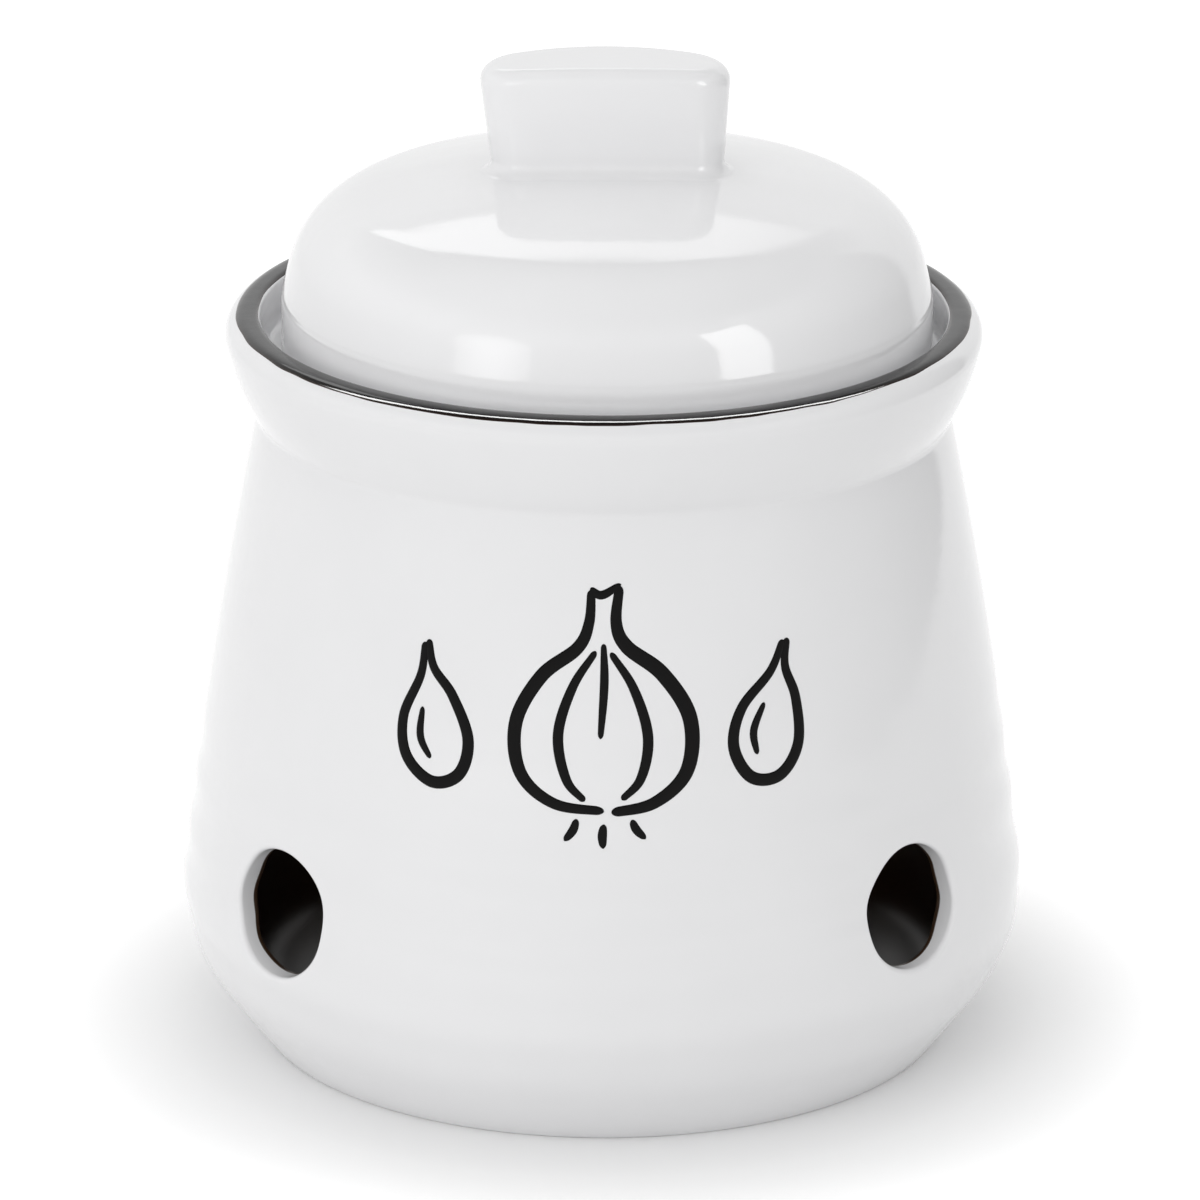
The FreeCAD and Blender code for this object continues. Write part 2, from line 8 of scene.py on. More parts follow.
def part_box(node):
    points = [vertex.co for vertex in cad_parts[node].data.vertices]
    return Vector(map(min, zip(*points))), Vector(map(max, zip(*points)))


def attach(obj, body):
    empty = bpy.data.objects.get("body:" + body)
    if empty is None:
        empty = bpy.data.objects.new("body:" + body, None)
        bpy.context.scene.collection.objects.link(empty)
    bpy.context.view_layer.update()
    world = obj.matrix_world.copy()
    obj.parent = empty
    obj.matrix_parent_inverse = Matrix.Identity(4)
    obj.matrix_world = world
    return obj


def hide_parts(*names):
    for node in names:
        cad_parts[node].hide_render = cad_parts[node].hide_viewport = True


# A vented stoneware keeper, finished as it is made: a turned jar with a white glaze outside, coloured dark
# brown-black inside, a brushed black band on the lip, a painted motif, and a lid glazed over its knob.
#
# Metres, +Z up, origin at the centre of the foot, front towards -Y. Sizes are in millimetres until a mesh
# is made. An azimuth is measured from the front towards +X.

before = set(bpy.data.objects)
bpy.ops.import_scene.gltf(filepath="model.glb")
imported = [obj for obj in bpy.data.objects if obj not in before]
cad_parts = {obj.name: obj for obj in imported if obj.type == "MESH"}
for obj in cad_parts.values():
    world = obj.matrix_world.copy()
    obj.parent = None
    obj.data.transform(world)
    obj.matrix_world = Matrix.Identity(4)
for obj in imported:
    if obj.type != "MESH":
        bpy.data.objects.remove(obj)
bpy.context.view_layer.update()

MM = 0.001
TURN = 2 * math.pi

# The CAD nodes' lowest and highest corners, in millimetres.
(JAR_LOW, JAR_HIGH), (_, BAND_HIGH), (DOME_LOW, DOME_HIGH), (_, KNOB_HIGH) = (
    np.array(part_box(node)) / MM for node in ("jar_body", "rim_band", "lid_dome", "lid_knob"))

# Sizes ----------------------

# jar, outside
BELLY_RADIUS = min(*JAR_HIGH[:2], *-JAR_LOW[:2]) - 0.01
BELLY_ARC = 22.9
BELLY_SLOPE = 37.5
BELLY_RISE = 15.5
WALL_ARC = 840.0
NECK_RADIUS = 49.6
NECK_HEIGHT = 92.6
NECK_CREASE = 1.8
RIM_FLARE = 4.5
FLARE_ARC = 32.0
BAND_SKIN = 0.12
LIP_TOP = BAND_HIGH[2] - BAND_SKIN
LIP_ROUND = 3.0 - BAND_SKIN
LIP_FLAT = 1.35
LIP_INNER_ROUND = 0.9 - BAND_SKIN
RIM_RADIUS = NECK_RADIUS + RIM_FLARE - BAND_SKIN
# the middles of the lip's outer roll and of its inner edge
LIP_ROLL = np.array([RIM_RADIUS - LIP_ROUND, LIP_TOP - LIP_ROUND])
LIP_EDGE = np.array([LIP_ROLL[0] - LIP_FLAT, LIP_TOP - LIP_INNER_ROUND])
# jar, inside
WALL = 3.8
BASE_THICKNESS = 5.0
FLOOR_ROUND = 8.0
GALLERY_ROUND = 1.9
LEDGE_ROUND = 0.6
SPIGOT_DEPTH = 5.5
SPIGOT_CLEAR = 1.5
LEDGE_HEIGHT = DOME_LOW[2] + SPIGOT_DEPTH
# foot
FOOT_RING = 4.6
FOOT_RECESS = 2.0
FOOT_ROUND = 0.8
# vents
VENT_RADIUS = 9.0
VENT_HEIGHT = 30.3
VENT_AZIMUTH = 49.7
VENT_ROUND = 0.8
VENT_INNER_ROUND = 0.5
# Each vent's azimuth, how far its hole was cut round and up from its mark, and how much wider.
VENTS = [
    (VENT_AZIMUTH, -1.5, 0.8, 0.0),
    (180 - VENT_AZIMUTH, 0.6, -0.3, 0.1),
    (180 + VENT_AZIMUTH, -0.8, 0.4, 0.0),
    (-VENT_AZIMUTH, -1.0, -1.15, 0.25),
]
# lid
FLANGE_RADIUS = DOME_HIGH[0]
LID_GAP = 2.45
LID_SEAT = 2.8
SPIGOT_GAP = 1.0
SPIGOT_WALL = 3.4
SPIGOT_ROUND = 0.9
FLANGE_HEIGHT = 8.1
FLANGE_ROUND = 0.7
FLANGE_BEND = 1.6
CREASE_DEPTH = 0.035
CREASE_HALF = 0.25
DOME_INSET = 0.75
DOME_WALL_SLOPE = 14.0
DOME_SHOULDER = 13.9
DOME_CROWN = 150.0
LID_WALL = 4.2
# knob
KNOB_LENGTH = 36.0
KNOB_WIDTH = 15.6
KNOB_SIDE = 60.0
KNOB_DRAW = 1.5
KNOB_HEIGHT = 15.6
KNOB_CROWN = 140.0
KNOB_TOP_ROUND = 2.3
KNOB_FOOT_ROUND = 1.8
# The lid lies a little to one side on its ledge, and its knob leans back to the middle.
LID_SHIFT = 0.45
KNOB_LEAN = -0.5

# How finely the skins are worked out. A window is the square of quads that a vent's skin replaces.
COLUMNS = 288
BAND_COLUMNS = 720
WINDOW = 22
WINDOW_HALF = 14.0
ROW_STEP = 1.35
POLE_RING = 2.0
AZIMUTHS = np.arange(COLUMNS) * TURN / COLUMNS


# Helpers for shapes ---------


def arc(centre, radius, start, end, steps):
    """Points on a circle: centre + radius * (cos, sin) of headings from start to end, in degrees."""
    heading = np.radians(np.linspace(start, end, steps + 1))
    return np.asarray(centre) + radius * np.column_stack([np.cos(heading), np.sin(heading)])


def toward(heading):
    """The way at a heading in degrees: its cosine and sine."""
    return np.array([math.cos(math.radians(heading)), math.sin(math.radians(heading))])


def heading_to(origin, point):
    """The heading in degrees of the way from one point to another."""
    return math.degrees(math.atan2(point[1] - origin[1], point[0] - origin[0]))


def crossing(one, one_reach, other, other_reach, pick):
    """Where two circles cross: along the line of centres by (a^2 - b^2 + d^2) / 2d, then square to it by
    what Pythagoras leaves. pick is min or max: nearer the axis or farther from it."""
    one, other = np.asarray(one, float), np.asarray(other, float)
    apart = np.hypot(*(other - one))
    along = (one_reach**2 - other_reach**2 + apart**2) / (2 * apart)
    off = math.sqrt(one_reach**2 - along**2)
    ahead = (other - one) / apart
    left = np.array([-ahead[1], ahead[0]])
    return pick((one + along * ahead + side * off * left for side in (-1, 1)), key=lambda point: point[0])


def rounded(before, corner, after, radius, steps=6):
    """A fillet: the arc that touches both sides of a corner, radius / tan(half its angle) away from it."""
    before, corner, after = (np.asarray(point, float) for point in (before, corner, after))
    back = (before - corner) / np.hypot(*(before - corner))
    on = (after - corner) / np.hypot(*(after - corner))
    half_angle = math.acos(np.clip(back @ on, -1, 1)) / 2
    middle = (back + on) / np.hypot(*(back + on))
    centre = corner + middle * radius / math.sin(half_angle)
    run = radius / math.tan(half_angle)
    start = heading_to(centre, corner + back * run)
    swing = (heading_to(centre, corner + on * run) - start + 180) % 360 - 180
    return arc(centre, radius, start, start + swing, steps)


def gaps_between(points):
    """The distances between points that follow each other."""
    return np.hypot(*np.diff(points, axis=0).T)


def fill_in(points, longest):
    """A section with points added evenly in every gap that is longer than the limit."""
    points = np.asarray(points, float)
    gaps = gaps_between(points)
    counts = np.maximum(np.ceil(gaps / longest).astype(int), 1)
    first = np.concatenate([[0], np.cumsum(counts)[:-1]])
    steps = np.arange(counts.sum()) - np.repeat(first, counts)
    place = np.repeat(np.arange(len(gaps)), counts) + steps / np.repeat(counts, counts)
    place = np.append(place, len(gaps))
    return np.column_stack([np.interp(place, np.arange(len(points)), side) for side in points.T])


def level_run(start, end, height, longest):
    """A level run of a section between two radii."""
    return fill_in([(start, height), (end, height)], longest)


def upright_run(radius, start, end, longest):
    """An upright run of a section between two heights."""
    return fill_in([(radius, start), (radius, end)], longest)


def smooth_step(low, high, value):
    """0 below low, 1 above high, and 3t^2 - 2t^3 between them."""
    share = np.clip((value - low) / (high - low), 0, 1)
    return share * share * (3 - 2 * share)


def wander(azimuth, seed, lowest, highest):
    """A closed wavering line of height about 1: cosines of whole numbers of waves per turn, each as strong
    as the inverse of its number, added at random phases."""
    random = np.random.default_rng(seed)
    waves = np.arange(lowest, highest)
    phases = random.uniform(0, TURN, len(waves))
    strengths = random.normal(0, 1, len(waves)) / waves
    total = (strengths[:, None] * np.cos(np.outer(waves, np.ravel(azimuth)) + phases[:, None])).sum(0)
    return total.reshape(np.shape(azimuth)) / np.sqrt((strengths**2).sum() / 2)


def around(radius, azimuth, height):
    """Points at a radius, an azimuth from the front towards +X, and a height."""
    radius, azimuth, height = np.broadcast_arrays(radius, azimuth, height)
    return np.stack([radius * np.sin(azimuth), -radius * np.cos(azimuth), height], axis=-1)


def ring_quads(rings):
    """Quads between closed rings of vertex numbers, each running to the left of the way to the next."""
    on = np.roll(rings, -1, axis=1)
    return np.stack([rings[:-1], on[:-1], on[1:], rings[1:]], axis=-1).reshape(-1, 4)


def end_caps(rings, pole):
    """Triangles that close the first ring to a pole, and the last ring to the pole numbered next."""
    first, last = rings[0], rings[-1]
    return np.concatenate([
        np.column_stack([np.full_like(first, pole), np.roll(first, -1), first]),
        np.column_stack([last, np.roll(last, -1), np.full_like(last, pole + 1)]),
    ])


def point_values(mesh, label, values):
    """Gives each point of a mesh a value that its material reads."""
    mesh.attributes.new(label, "FLOAT", "POINT").data.foreach_set("value", np.asarray(values, np.float32))


def stand(name, data):
    """An object with that data, in the scene."""
    thing = bpy.data.objects.new(name, data)
    bpy.context.scene.collection.objects.link(thing)
    return thing


def make_piece(name, points, quads, triangles, body, attributes):
    """A smooth mesh piece from points in millimetres, riding on its body."""
    mesh = bpy.data.meshes.new(name)
    corners = np.concatenate([np.ravel(quads), np.ravel(triangles)]).astype(np.int32)
    sizes = np.concatenate([np.full(len(quads), 4), np.full(len(triangles), 3)])
    starts = np.concatenate([[0], np.cumsum(sizes)[:-1]]).astype(np.int32)
    mesh.vertices.add(len(points))
    mesh.vertices.foreach_set("co", (np.asarray(points) * MM).astype(np.float32).ravel())
    mesh.loops.add(len(corners))
    mesh.loops.foreach_set("vertex_index", corners)
    mesh.polygons.add(len(sizes))
    mesh.polygons.foreach_set("loop_start", starts)
    mesh.polygons.foreach_set("use_smooth", np.ones(len(sizes), bool))
    for label, values in attributes.items():
        point_values(mesh, label, values)
    mesh.update(calc_edges=True)
    mesh.validate()
    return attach(stand(name, mesh), body)


# The jar's surfaces ---------

SLOPE = math.tan(math.radians(BELLY_SLOPE))
SLOPE_COSINE = math.cos(math.radians(BELLY_SLOPE))
FLOOR_HEIGHT = FOOT_RECESS + BASE_THICKNESS
BELLY = np.array([BELLY_RADIUS - BELLY_ARC, FLOOR_HEIGHT + BELLY_RISE])
INNER_ARC = BELLY_ARC - WALL
GALLERY_RADIUS = FLANGE_RADIUS + LID_GAP
THROAT_RADIUS = FLANGE_RADIUS - LID_SEAT
THROAT = np.array([THROAT_RADIUS, LEDGE_HEIGHT - SPIGOT_DEPTH - SPIGOT_CLEAR])
NECK = np.array([NECK_RADIUS, NECK_HEIGHT])
OUTER_BOW = crossing(NECK, WALL_ARC, BELLY, WALL_ARC - BELLY_ARC, min)
INNER_BOW = crossing(THROAT, WALL_ARC, BELLY, WALL_ARC - INNER_ARC, min)

# Soft rings from the potter's fingers, one pitch of climb per turn, with the heights between which they
# come in and fade out.
RING_PITCH = 9.5
RING_DEPTH = 0.30
RINGS_IN, RINGS_OUT = (9, 18), (36, 60)
INNER_PITCH = 6.5
INNER_DEPTH = 0.35
INNER_IN, INNER_OUT = (14, 24), (THROAT[1] - 12, THROAT[1] - 3)
# The clay is pushed in a little where each vent is cut.
DISH_DEPTH = 0.45
DISH_REACH = 5.0
DISH_IN = (9, 16)


def side_radius(height, ball_radius, bow):
    """A wall's radius at a height, on the belly's ball up to where the bow touches it and on the bow above:
    the centre's, plus the root of the arc's radius squared less the height over the centre squared."""
    joint = bow[1] + WALL_ARC * (BELLY[1] - bow[1]) / np.hypot(*(BELLY - bow))
    on_ball = BELLY[0] + np.sqrt(np.maximum(ball_radius**2 - (height - BELLY[1]) ** 2, 0))
    on_bow = bow[0] + np.sqrt(WALL_ARC**2 - (height - bow[1]) ** 2)
    return np.where(height < joint, on_ball, on_bow)


def from_vent(azimuth, height, radius):
    """Distance from the nearest vent's axis: the hypotenuse of the way across and the way up, and far off
    on the jar's other side."""
    ways = []
    for vent, aside, rise, _ in VENTS:
        turned = azimuth - math.radians(vent + aside)
        across = np.where(np.cos(turned) > 0, radius * np.sin(turned), BELLY_RADIUS)
        ways.append(np.hypot(across, height - VENT_HEIGHT - rise))
    return np.minimum.reduce(ways)


def outside(azimuth, height):
    """The outer wall's radius: the turned section, less the fingers' soft rings, which sway by two slow
    waves round the jar, and less the dish round each vent, a bell curve past its edge."""
    radius = side_radius(height, BELLY_ARC, OUTER_BOW)
    sway = 0.7 * np.sin(2 * azimuth + height / 11) + 0.5 * np.sin(3 * azimuth - height / 7)
    rings = 0.5 - 0.5 * np.cos(TURN * height / RING_PITCH + azimuth + sway)
    strength = smooth_step(*RINGS_IN, height) * (1 - smooth_step(*RINGS_OUT, height))
    past_edge = np.maximum(from_vent(azimuth, height, radius) - VENT_RADIUS, 0)
    dish = np.exp(-((past_edge / DISH_REACH) ** 2)) * smooth_step(*DISH_IN, height)
    return radius - RING_DEPTH * rings * strength - DISH_DEPTH * dish


def inside(azimuth, height):
    """The inner wall's radius: the turned section, less the ridges left between the fingers."""
    radius = side_radius(height, INNER_ARC, INNER_BOW)
    ridges = 0.5 + 0.5 * np.cos(TURN * height / INNER_PITCH - azimuth + np.sin(2 * azimuth))
    strength = smooth_step(*INNER_IN, height) * (1 - smooth_step(*INNER_OUT, height))
    return radius - INNER_DEPTH * ridges * strength


# The jar --------------------


def side_heights(low, high):
    """Heights of a wall's rows: even in the vents' window, and about a step apart below and above it."""
    bottom, top = VENT_HEIGHT - WINDOW_HALF, VENT_HEIGHT + WINDOW_HALF
    below = np.linspace(low, bottom, math.ceil((bottom - low) / ROW_STEP) + 1)[:-1]
    window = np.linspace(bottom, top, WINDOW + 1)
    above = np.linspace(top, high, math.ceil((high - top) / ROW_STEP) + 1)[1:]
    return np.concatenate([below, window, above]), len(below)


def jar_section():
    """The jar's section in stretches, from the axis under the foot, up the outside, over the lip and down
    the inside: (points, finish, side), where side is the function that gives a wall's radius."""
    foot_radius = BELLY[0] + BELLY_ARC / SLOPE_COSINE - BELLY[1] * SLOPE
    slope_end = BELLY + BELLY_ARC * toward(-BELLY_SLOPE)
    foot = (foot_radius, 0)
    recess = (foot_radius - FOOT_RING, 0)
    recess_corner = (recess[0], FOOT_RECESS)
    flare = crossing(NECK, FLARE_ARC, LIP_ROLL, FLARE_ARC - LIP_ROUND, min)
    crease = crossing(OUTER_BOW, WALL_ARC + NECK_CREASE, flare, FLARE_ARC + NECK_CREASE, max)
    crease_foot = crease + (OUTER_BOW - crease) * NECK_CREASE / (WALL_ARC + NECK_CREASE)
    gallery = (GALLERY_RADIUS, LEDGE_HEIGHT)
    ledge = (THROAT_RADIUS, LEDGE_HEIGHT)
    inner_end = BELLY + INNER_ARC * toward(-BELLY_SLOPE)
    floor = (BELLY[0] + INNER_ARC / SLOPE_COSINE - BELLY_RISE * SLOPE, FLOOR_HEIGHT)

    outer_heights, outer_first = side_heights(slope_end[1], crease_foot[1])
    inner_heights, inner_first = side_heights(inner_end[1], THROAT[1])
    inner_heights = inner_heights[::-1]
    roll_start = heading_to(flare, LIP_ROLL)
    # Level and upright runs stop a little short of the fillets at their ends.
    stretches = [
        (level_run(POLE_RING, recess[0] - 1.5, FOOT_RECESS, 3.0), "bare", None),
        (rounded((0, FOOT_RECESS), recess_corner, recess, FOOT_ROUND, 4), "bare", None),
        (rounded(recess_corner, recess, foot, FOOT_ROUND, 4), "bare", None),
        (level_run(recess[0] + 1.3, foot[0] - 1.0, 0, 1.2), "bare", None),
        (rounded(recess, foot, slope_end, FOOT_ROUND, 5), "glaze", None),
        (fill_in([(foot[0] + 1.0, 1.0 / SLOPE), slope_end], ROW_STEP)[:-1], "glaze", None),
        (np.column_stack([outer_heights * 0, outer_heights]), "glaze", outside),
        (arc(crease, NECK_CREASE, 180 + heading_to(OUTER_BOW, crease),
             180 + heading_to(flare, crease), 6)[1:], "glaze", None),
        (arc(flare, FLARE_ARC, heading_to(flare, crease), roll_start, 14)[1:], "glaze", None),
        (arc(LIP_ROLL, LIP_ROUND, roll_start, 90, 14)[1:], "glaze", None),
        (arc(LIP_EDGE, LIP_INNER_ROUND, 90, 180, 7), "glaze", None),
        (upright_run(GALLERY_RADIUS, LIP_EDGE[1] - 0.6, LEDGE_HEIGHT + 2.2, 1.0), "glaze", None),
        (rounded((GALLERY_RADIUS, LIP_TOP), gallery, ledge, GALLERY_ROUND, 5), "glaze", None),
        (level_run(FLANGE_RADIUS + 0.3, FLANGE_RADIUS - 0.6, LEDGE_HEIGHT, 1.0), "glaze", None),
        (level_run(FLANGE_RADIUS - 1.0, THROAT_RADIUS + 0.9, LEDGE_HEIGHT, 0.6), "bare", None),
        (rounded(gallery, ledge, THROAT, LEDGE_ROUND, 5), "bare", None),
        (fill_in([(THROAT_RADIUS, LEDGE_HEIGHT - 1.2), THROAT], ROW_STEP)[:-1], "dark_inside", None),
        (np.column_stack([inner_heights * 0, inner_heights]), "dark_inside", inside),
        (rounded(inner_end, floor, (0, FLOOR_HEIGHT), FLOOR_ROUND, 9), "dark_inside", None),
        (level_run(floor[0] - 5.0, POLE_RING, FLOOR_HEIGHT, 3.0), "dark_inside", None),
    ]
    counts = np.cumsum([0] + [len(points) for points, _, _ in stretches])
    sides = [side for _, _, side in stretches]
    outer_row = counts[sides.index(outside)] + outer_first
    inner_row = counts[sides.index(inside)] + len(inner_heights) - 1 - inner_first - WINDOW
    return stretches, outer_row, inner_row


def depth_at(surface, vent, across, height):
    """How far along a vent's axis the wall lies: the root of its radius squared less the way across
    squared."""
    guess = surface(vent + np.arcsin(across / BELLY_RADIUS), height)
    radius = surface(vent + np.arcsin(across / guess), height)
    return np.sqrt(radius**2 - across**2)


def vent_skin(vent, rise, widen, outer_edge, inner_edge):
    """A vent's skin in rings of points, from the outer wall's window to the inner wall's: from a square to
    a circle, round the outer edge by a quarter circle, along the hole, round the inner edge, and back to a
    square. Also says which rings are coloured dark brown-black like the jar's inside."""
    outward = np.array([math.sin(vent), -math.cos(vent), 0])
    sideways = np.array([math.cos(vent), math.sin(vent), 0])
    turn = np.linspace(0, TURN, outer_edge.shape[0], endpoint=False) - 0.75 * math.pi
    circle = np.column_stack([np.cos(turn), np.sin(turn)])
    hand_cut = 0.14 * np.cos(2 * turn + vent) + 0.07 * np.cos(3 * turn + 2 * vent)
    hole = VENT_RADIUS + widen + hand_cut
    centre = np.array([0, VENT_HEIGHT + rise])
    rings, dark_flags = [], []

    def add(plan, depth, dark_inside):
        rings.append(plan[:, :1] * sideways + depth[:, None] * outward + plan[:, 1:] * [[0, 0, 1]])
        dark_flags.append(dark_inside)

    def plan_at(radius):
        return centre + circle * radius[:, None]

    def from_square(edge, surface, edge_round, shares, dark_inside):
        square = np.column_stack([edge @ sideways, edge[:, 2]])
        for share in shares:
            plan = square + (plan_at(hole + edge_round) - square) * share
            add(plan, depth_at(surface, vent, plan[:, 0], plan[:, 1]), dark_inside)

    def round_edge(surface, edge_round, inward, angles, dark_inside):
        for angle in np.radians(angles):
            plan = plan_at(hole + edge_round * (1 - math.sin(angle)))
            drop = edge_round * (1 - math.cos(angle))
            add(plan, depth_at(surface, vent, plan[:, 0], plan[:, 1]) + inward * drop, dark_inside)

    ring_shares = np.linspace(0, 1, 9)
    from_square(outer_edge, outside, VENT_ROUND, ring_shares[1:], 0)
    round_edge(outside, VENT_ROUND, -1, np.linspace(0, 90, 9)[1:], 0)
    mouth = plan_at(hole)
    near = depth_at(outside, vent, mouth[:, 0], mouth[:, 1]) - VENT_ROUND
    far = depth_at(inside, vent, mouth[:, 0], mouth[:, 1]) + VENT_INNER_ROUND
    for share in np.linspace(0, 1, 4)[1:-1]:
        add(mouth, near + (far - near) * share, 0)
    round_edge(inside, VENT_INNER_ROUND, 1, np.linspace(90, 0, 7), 1)
    from_square(inner_edge, inside, VENT_INNER_ROUND, ring_shares[-2:0:-1], 1)
    return np.array(rings), np.array(dark_flags)


def make_jar():
    """The jar as one closed skin: its section turned about the axis, with each vent's skin in place of a
    window of quads in either wall."""
    stretches, outer_row, inner_row = jar_section()
    grid, bare, dark_inside = [], [], []
    for points, finish, side in stretches:
        radius = points[:, :1] if side is None else side(AZIMUTHS[None, :], points[:, 1:])
        grid.append(around(radius, AZIMUTHS[None, :], points[:, 1:]))
        bare.append(np.full(len(points), finish == "bare"))
        dark_inside.append(np.full(len(points), finish == "dark_inside"))
    grid = np.concatenate(grid)
    rows = len(grid)
    numbers = np.arange(rows * COLUMNS).reshape(rows, COLUMNS)
    points = [grid.reshape(-1, 3), [(0, 0, FOOT_RECESS), (0, 0, FLOOR_HEIGHT)]]
    bare = [np.repeat(np.concatenate(bare), COLUMNS), [1, 0]]
    dark_inside = [np.repeat(np.concatenate(dark_inside), COLUMNS), [0, 1]]
    first_pole = rows * COLUMNS
    triangles = end_caps(numbers, first_pole)

    keep = np.ones((rows - 1, COLUMNS), bool)
    quads = []
    total = first_pole + 2
    step = np.arange(WINDOW)
    up = np.concatenate([step * 0, step, step * 0 + WINDOW, WINDOW - step])
    across = np.concatenate([step, step * 0 + WINDOW, WINDOW - step, step * 0])
    for mark, aside, rise, widen in VENTS:
        vent = math.radians(mark + aside)
        first_column = round(vent / TURN * COLUMNS) - WINDOW // 2
        columns = (first_column + across) % COLUMNS
        outer_edge = numbers[outer_row + up, columns]
        inner_edge = numbers[inner_row + WINDOW - up, columns]
        window = (first_column + step) % COLUMNS
        keep[outer_row : outer_row + WINDOW, window] = False
        keep[inner_row : inner_row + WINDOW, window] = False
        flat = points[0]
        rings, dark_flags = vent_skin(vent, rise, widen, flat[outer_edge], flat[inner_edge])
        count = rings[..., 0].size
        ring_numbers = total + np.arange(count).reshape(rings.shape[:2])
        quads.append(ring_quads(np.concatenate([[outer_edge], ring_numbers, [inner_edge]])))
        points.append(rings.reshape(-1, 3))
        dark_inside.append(np.repeat(dark_flags, rings.shape[1]))
        bare.append(np.zeros(count))
        total += count
    quads.append(ring_quads(numbers)[keep.ravel()])
    piece = make_piece("jar", np.concatenate(points), np.concatenate(quads), triangles, "jar",
                       {"bare": np.concatenate(bare), "dark_inside": np.concatenate(dark_inside)})
    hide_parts("jar_body")
    return piece


# The black band -------------

BAND_START = 59.0
BAND_END = 42.0
BAND_ROWS = 26


def lip_path(distance, lift):
    """Points on the lip at a distance along its skin, standing off by a lift: round the outer roll, across
    the flat and round the inner edge."""
    to_flat = LIP_ROUND * math.pi / 2
    past_flat = to_flat + LIP_FLAT
    on_roll = np.clip(distance, 0, to_flat) / LIP_ROUND
    on_edge = np.maximum(distance - past_flat, 0) / LIP_INNER_ROUND
    heading = on_roll + on_edge
    centre_radius = LIP_ROLL[0] - np.clip(distance - to_flat, 0, LIP_FLAT)
    centre_height = np.where(distance < past_flat, LIP_ROLL[1], LIP_EDGE[1])
    reach = np.where(distance < past_flat, LIP_ROUND, LIP_INNER_ROUND) + lift
    return centre_radius + reach * np.cos(heading), centre_height + reach * np.sin(heading)


def make_band():
    """The band as a closed skin over the lip: a bead whose thickness follows a flattened half-oval, and
    whose two brushed edges waver."""
    azimuth = np.arange(BAND_COLUMNS) * TURN / BAND_COLUMNS
    start = LIP_ROUND * math.radians(BAND_START) + 0.16 * wander(azimuth, 11, 2, 60)
    end = LIP_ROUND * math.pi / 2 + LIP_FLAT + LIP_INNER_ROUND * math.radians(BAND_END)
    end = end + 0.07 * wander(azimuth, 12, 2, 40)
    turn = np.linspace(0, TURN, BAND_ROWS, endpoint=False)[:, None]
    share = 0.5 - 0.5 * np.sign(np.cos(turn)) * np.abs(np.cos(turn)) ** 0.8
    bead = np.sign(np.sin(turn)) * np.abs(np.sin(turn)) ** 0.5
    distance = start + (end - start) * share
    lift = np.where(bead > 0, bead * (2 * BAND_SKIN) - BAND_SKIN, bead * 0.1 - BAND_SKIN)
    radius, height = lip_path(distance, lift)
    points = around(radius, azimuth[None, :], height)
    numbers = np.arange(points[..., 0].size).reshape(BAND_ROWS, BAND_COLUMNS)
    quads = ring_quads(np.concatenate([numbers, numbers[:1]]))
    edge = np.broadcast_to(np.abs(np.cos(turn)) ** 6, numbers.shape)
    piece = make_piece("lip_band", points.reshape(-1, 3), quads, np.zeros((0, 3), int), "jar",
                       {"edge": edge.ravel()})
    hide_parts("rim_band")
    return piece


# The lid --------------------

FLANGE_TOP = LEDGE_HEIGHT + FLANGE_HEIGHT
KNOB_TOP = KNOB_HIGH[2]
DOME_TOP = KNOB_TOP - KNOB_HEIGHT
SPIGOT_RADIUS = THROAT_RADIUS - SPIGOT_GAP
CROWN_CENTRE = DOME_TOP - DOME_CROWN
SHOULDER_RADIUS = FLANGE_RADIUS - DOME_INSET - DOME_SHOULDER
SHOULDER = np.array([
    SHOULDER_RADIUS,
    CROWN_CENTRE + math.sqrt((DOME_CROWN - DOME_SHOULDER) ** 2 - SHOULDER_RADIUS**2),
])


def touching(point, centre, radius):
    """Heading from a circle's centre to where a line up from a point touches it outside: the heading to
    the point plus the angle whose cosine is radius over distance."""
    apart = math.hypot(point[0] - centre[0], point[1] - centre[1])
    return heading_to(centre, point) + math.degrees(math.acos(radius / apart))


def flange_side(height, end):
    """The lid's radius from its flange up to the end of the dome's wall: upright, then bent in by a
    parabola to a steady slope, less the narrow bell curve of a crease that the glaze half fills."""
    slope = math.tan(math.radians(DOME_WALL_SLOPE))
    bend = end[1] - (FLANGE_RADIUS - end[0]) / slope
    share = np.clip((height - bend) / FLANGE_BEND + 0.5, 0, None)
    drawn = np.where(share < 1, FLANGE_BEND * share**2 / 2, height - bend)
    crease = CREASE_DEPTH * np.exp(-(((height - bend) / CREASE_HALF) ** 2))
    return FLANGE_RADIUS - drawn * slope - crease


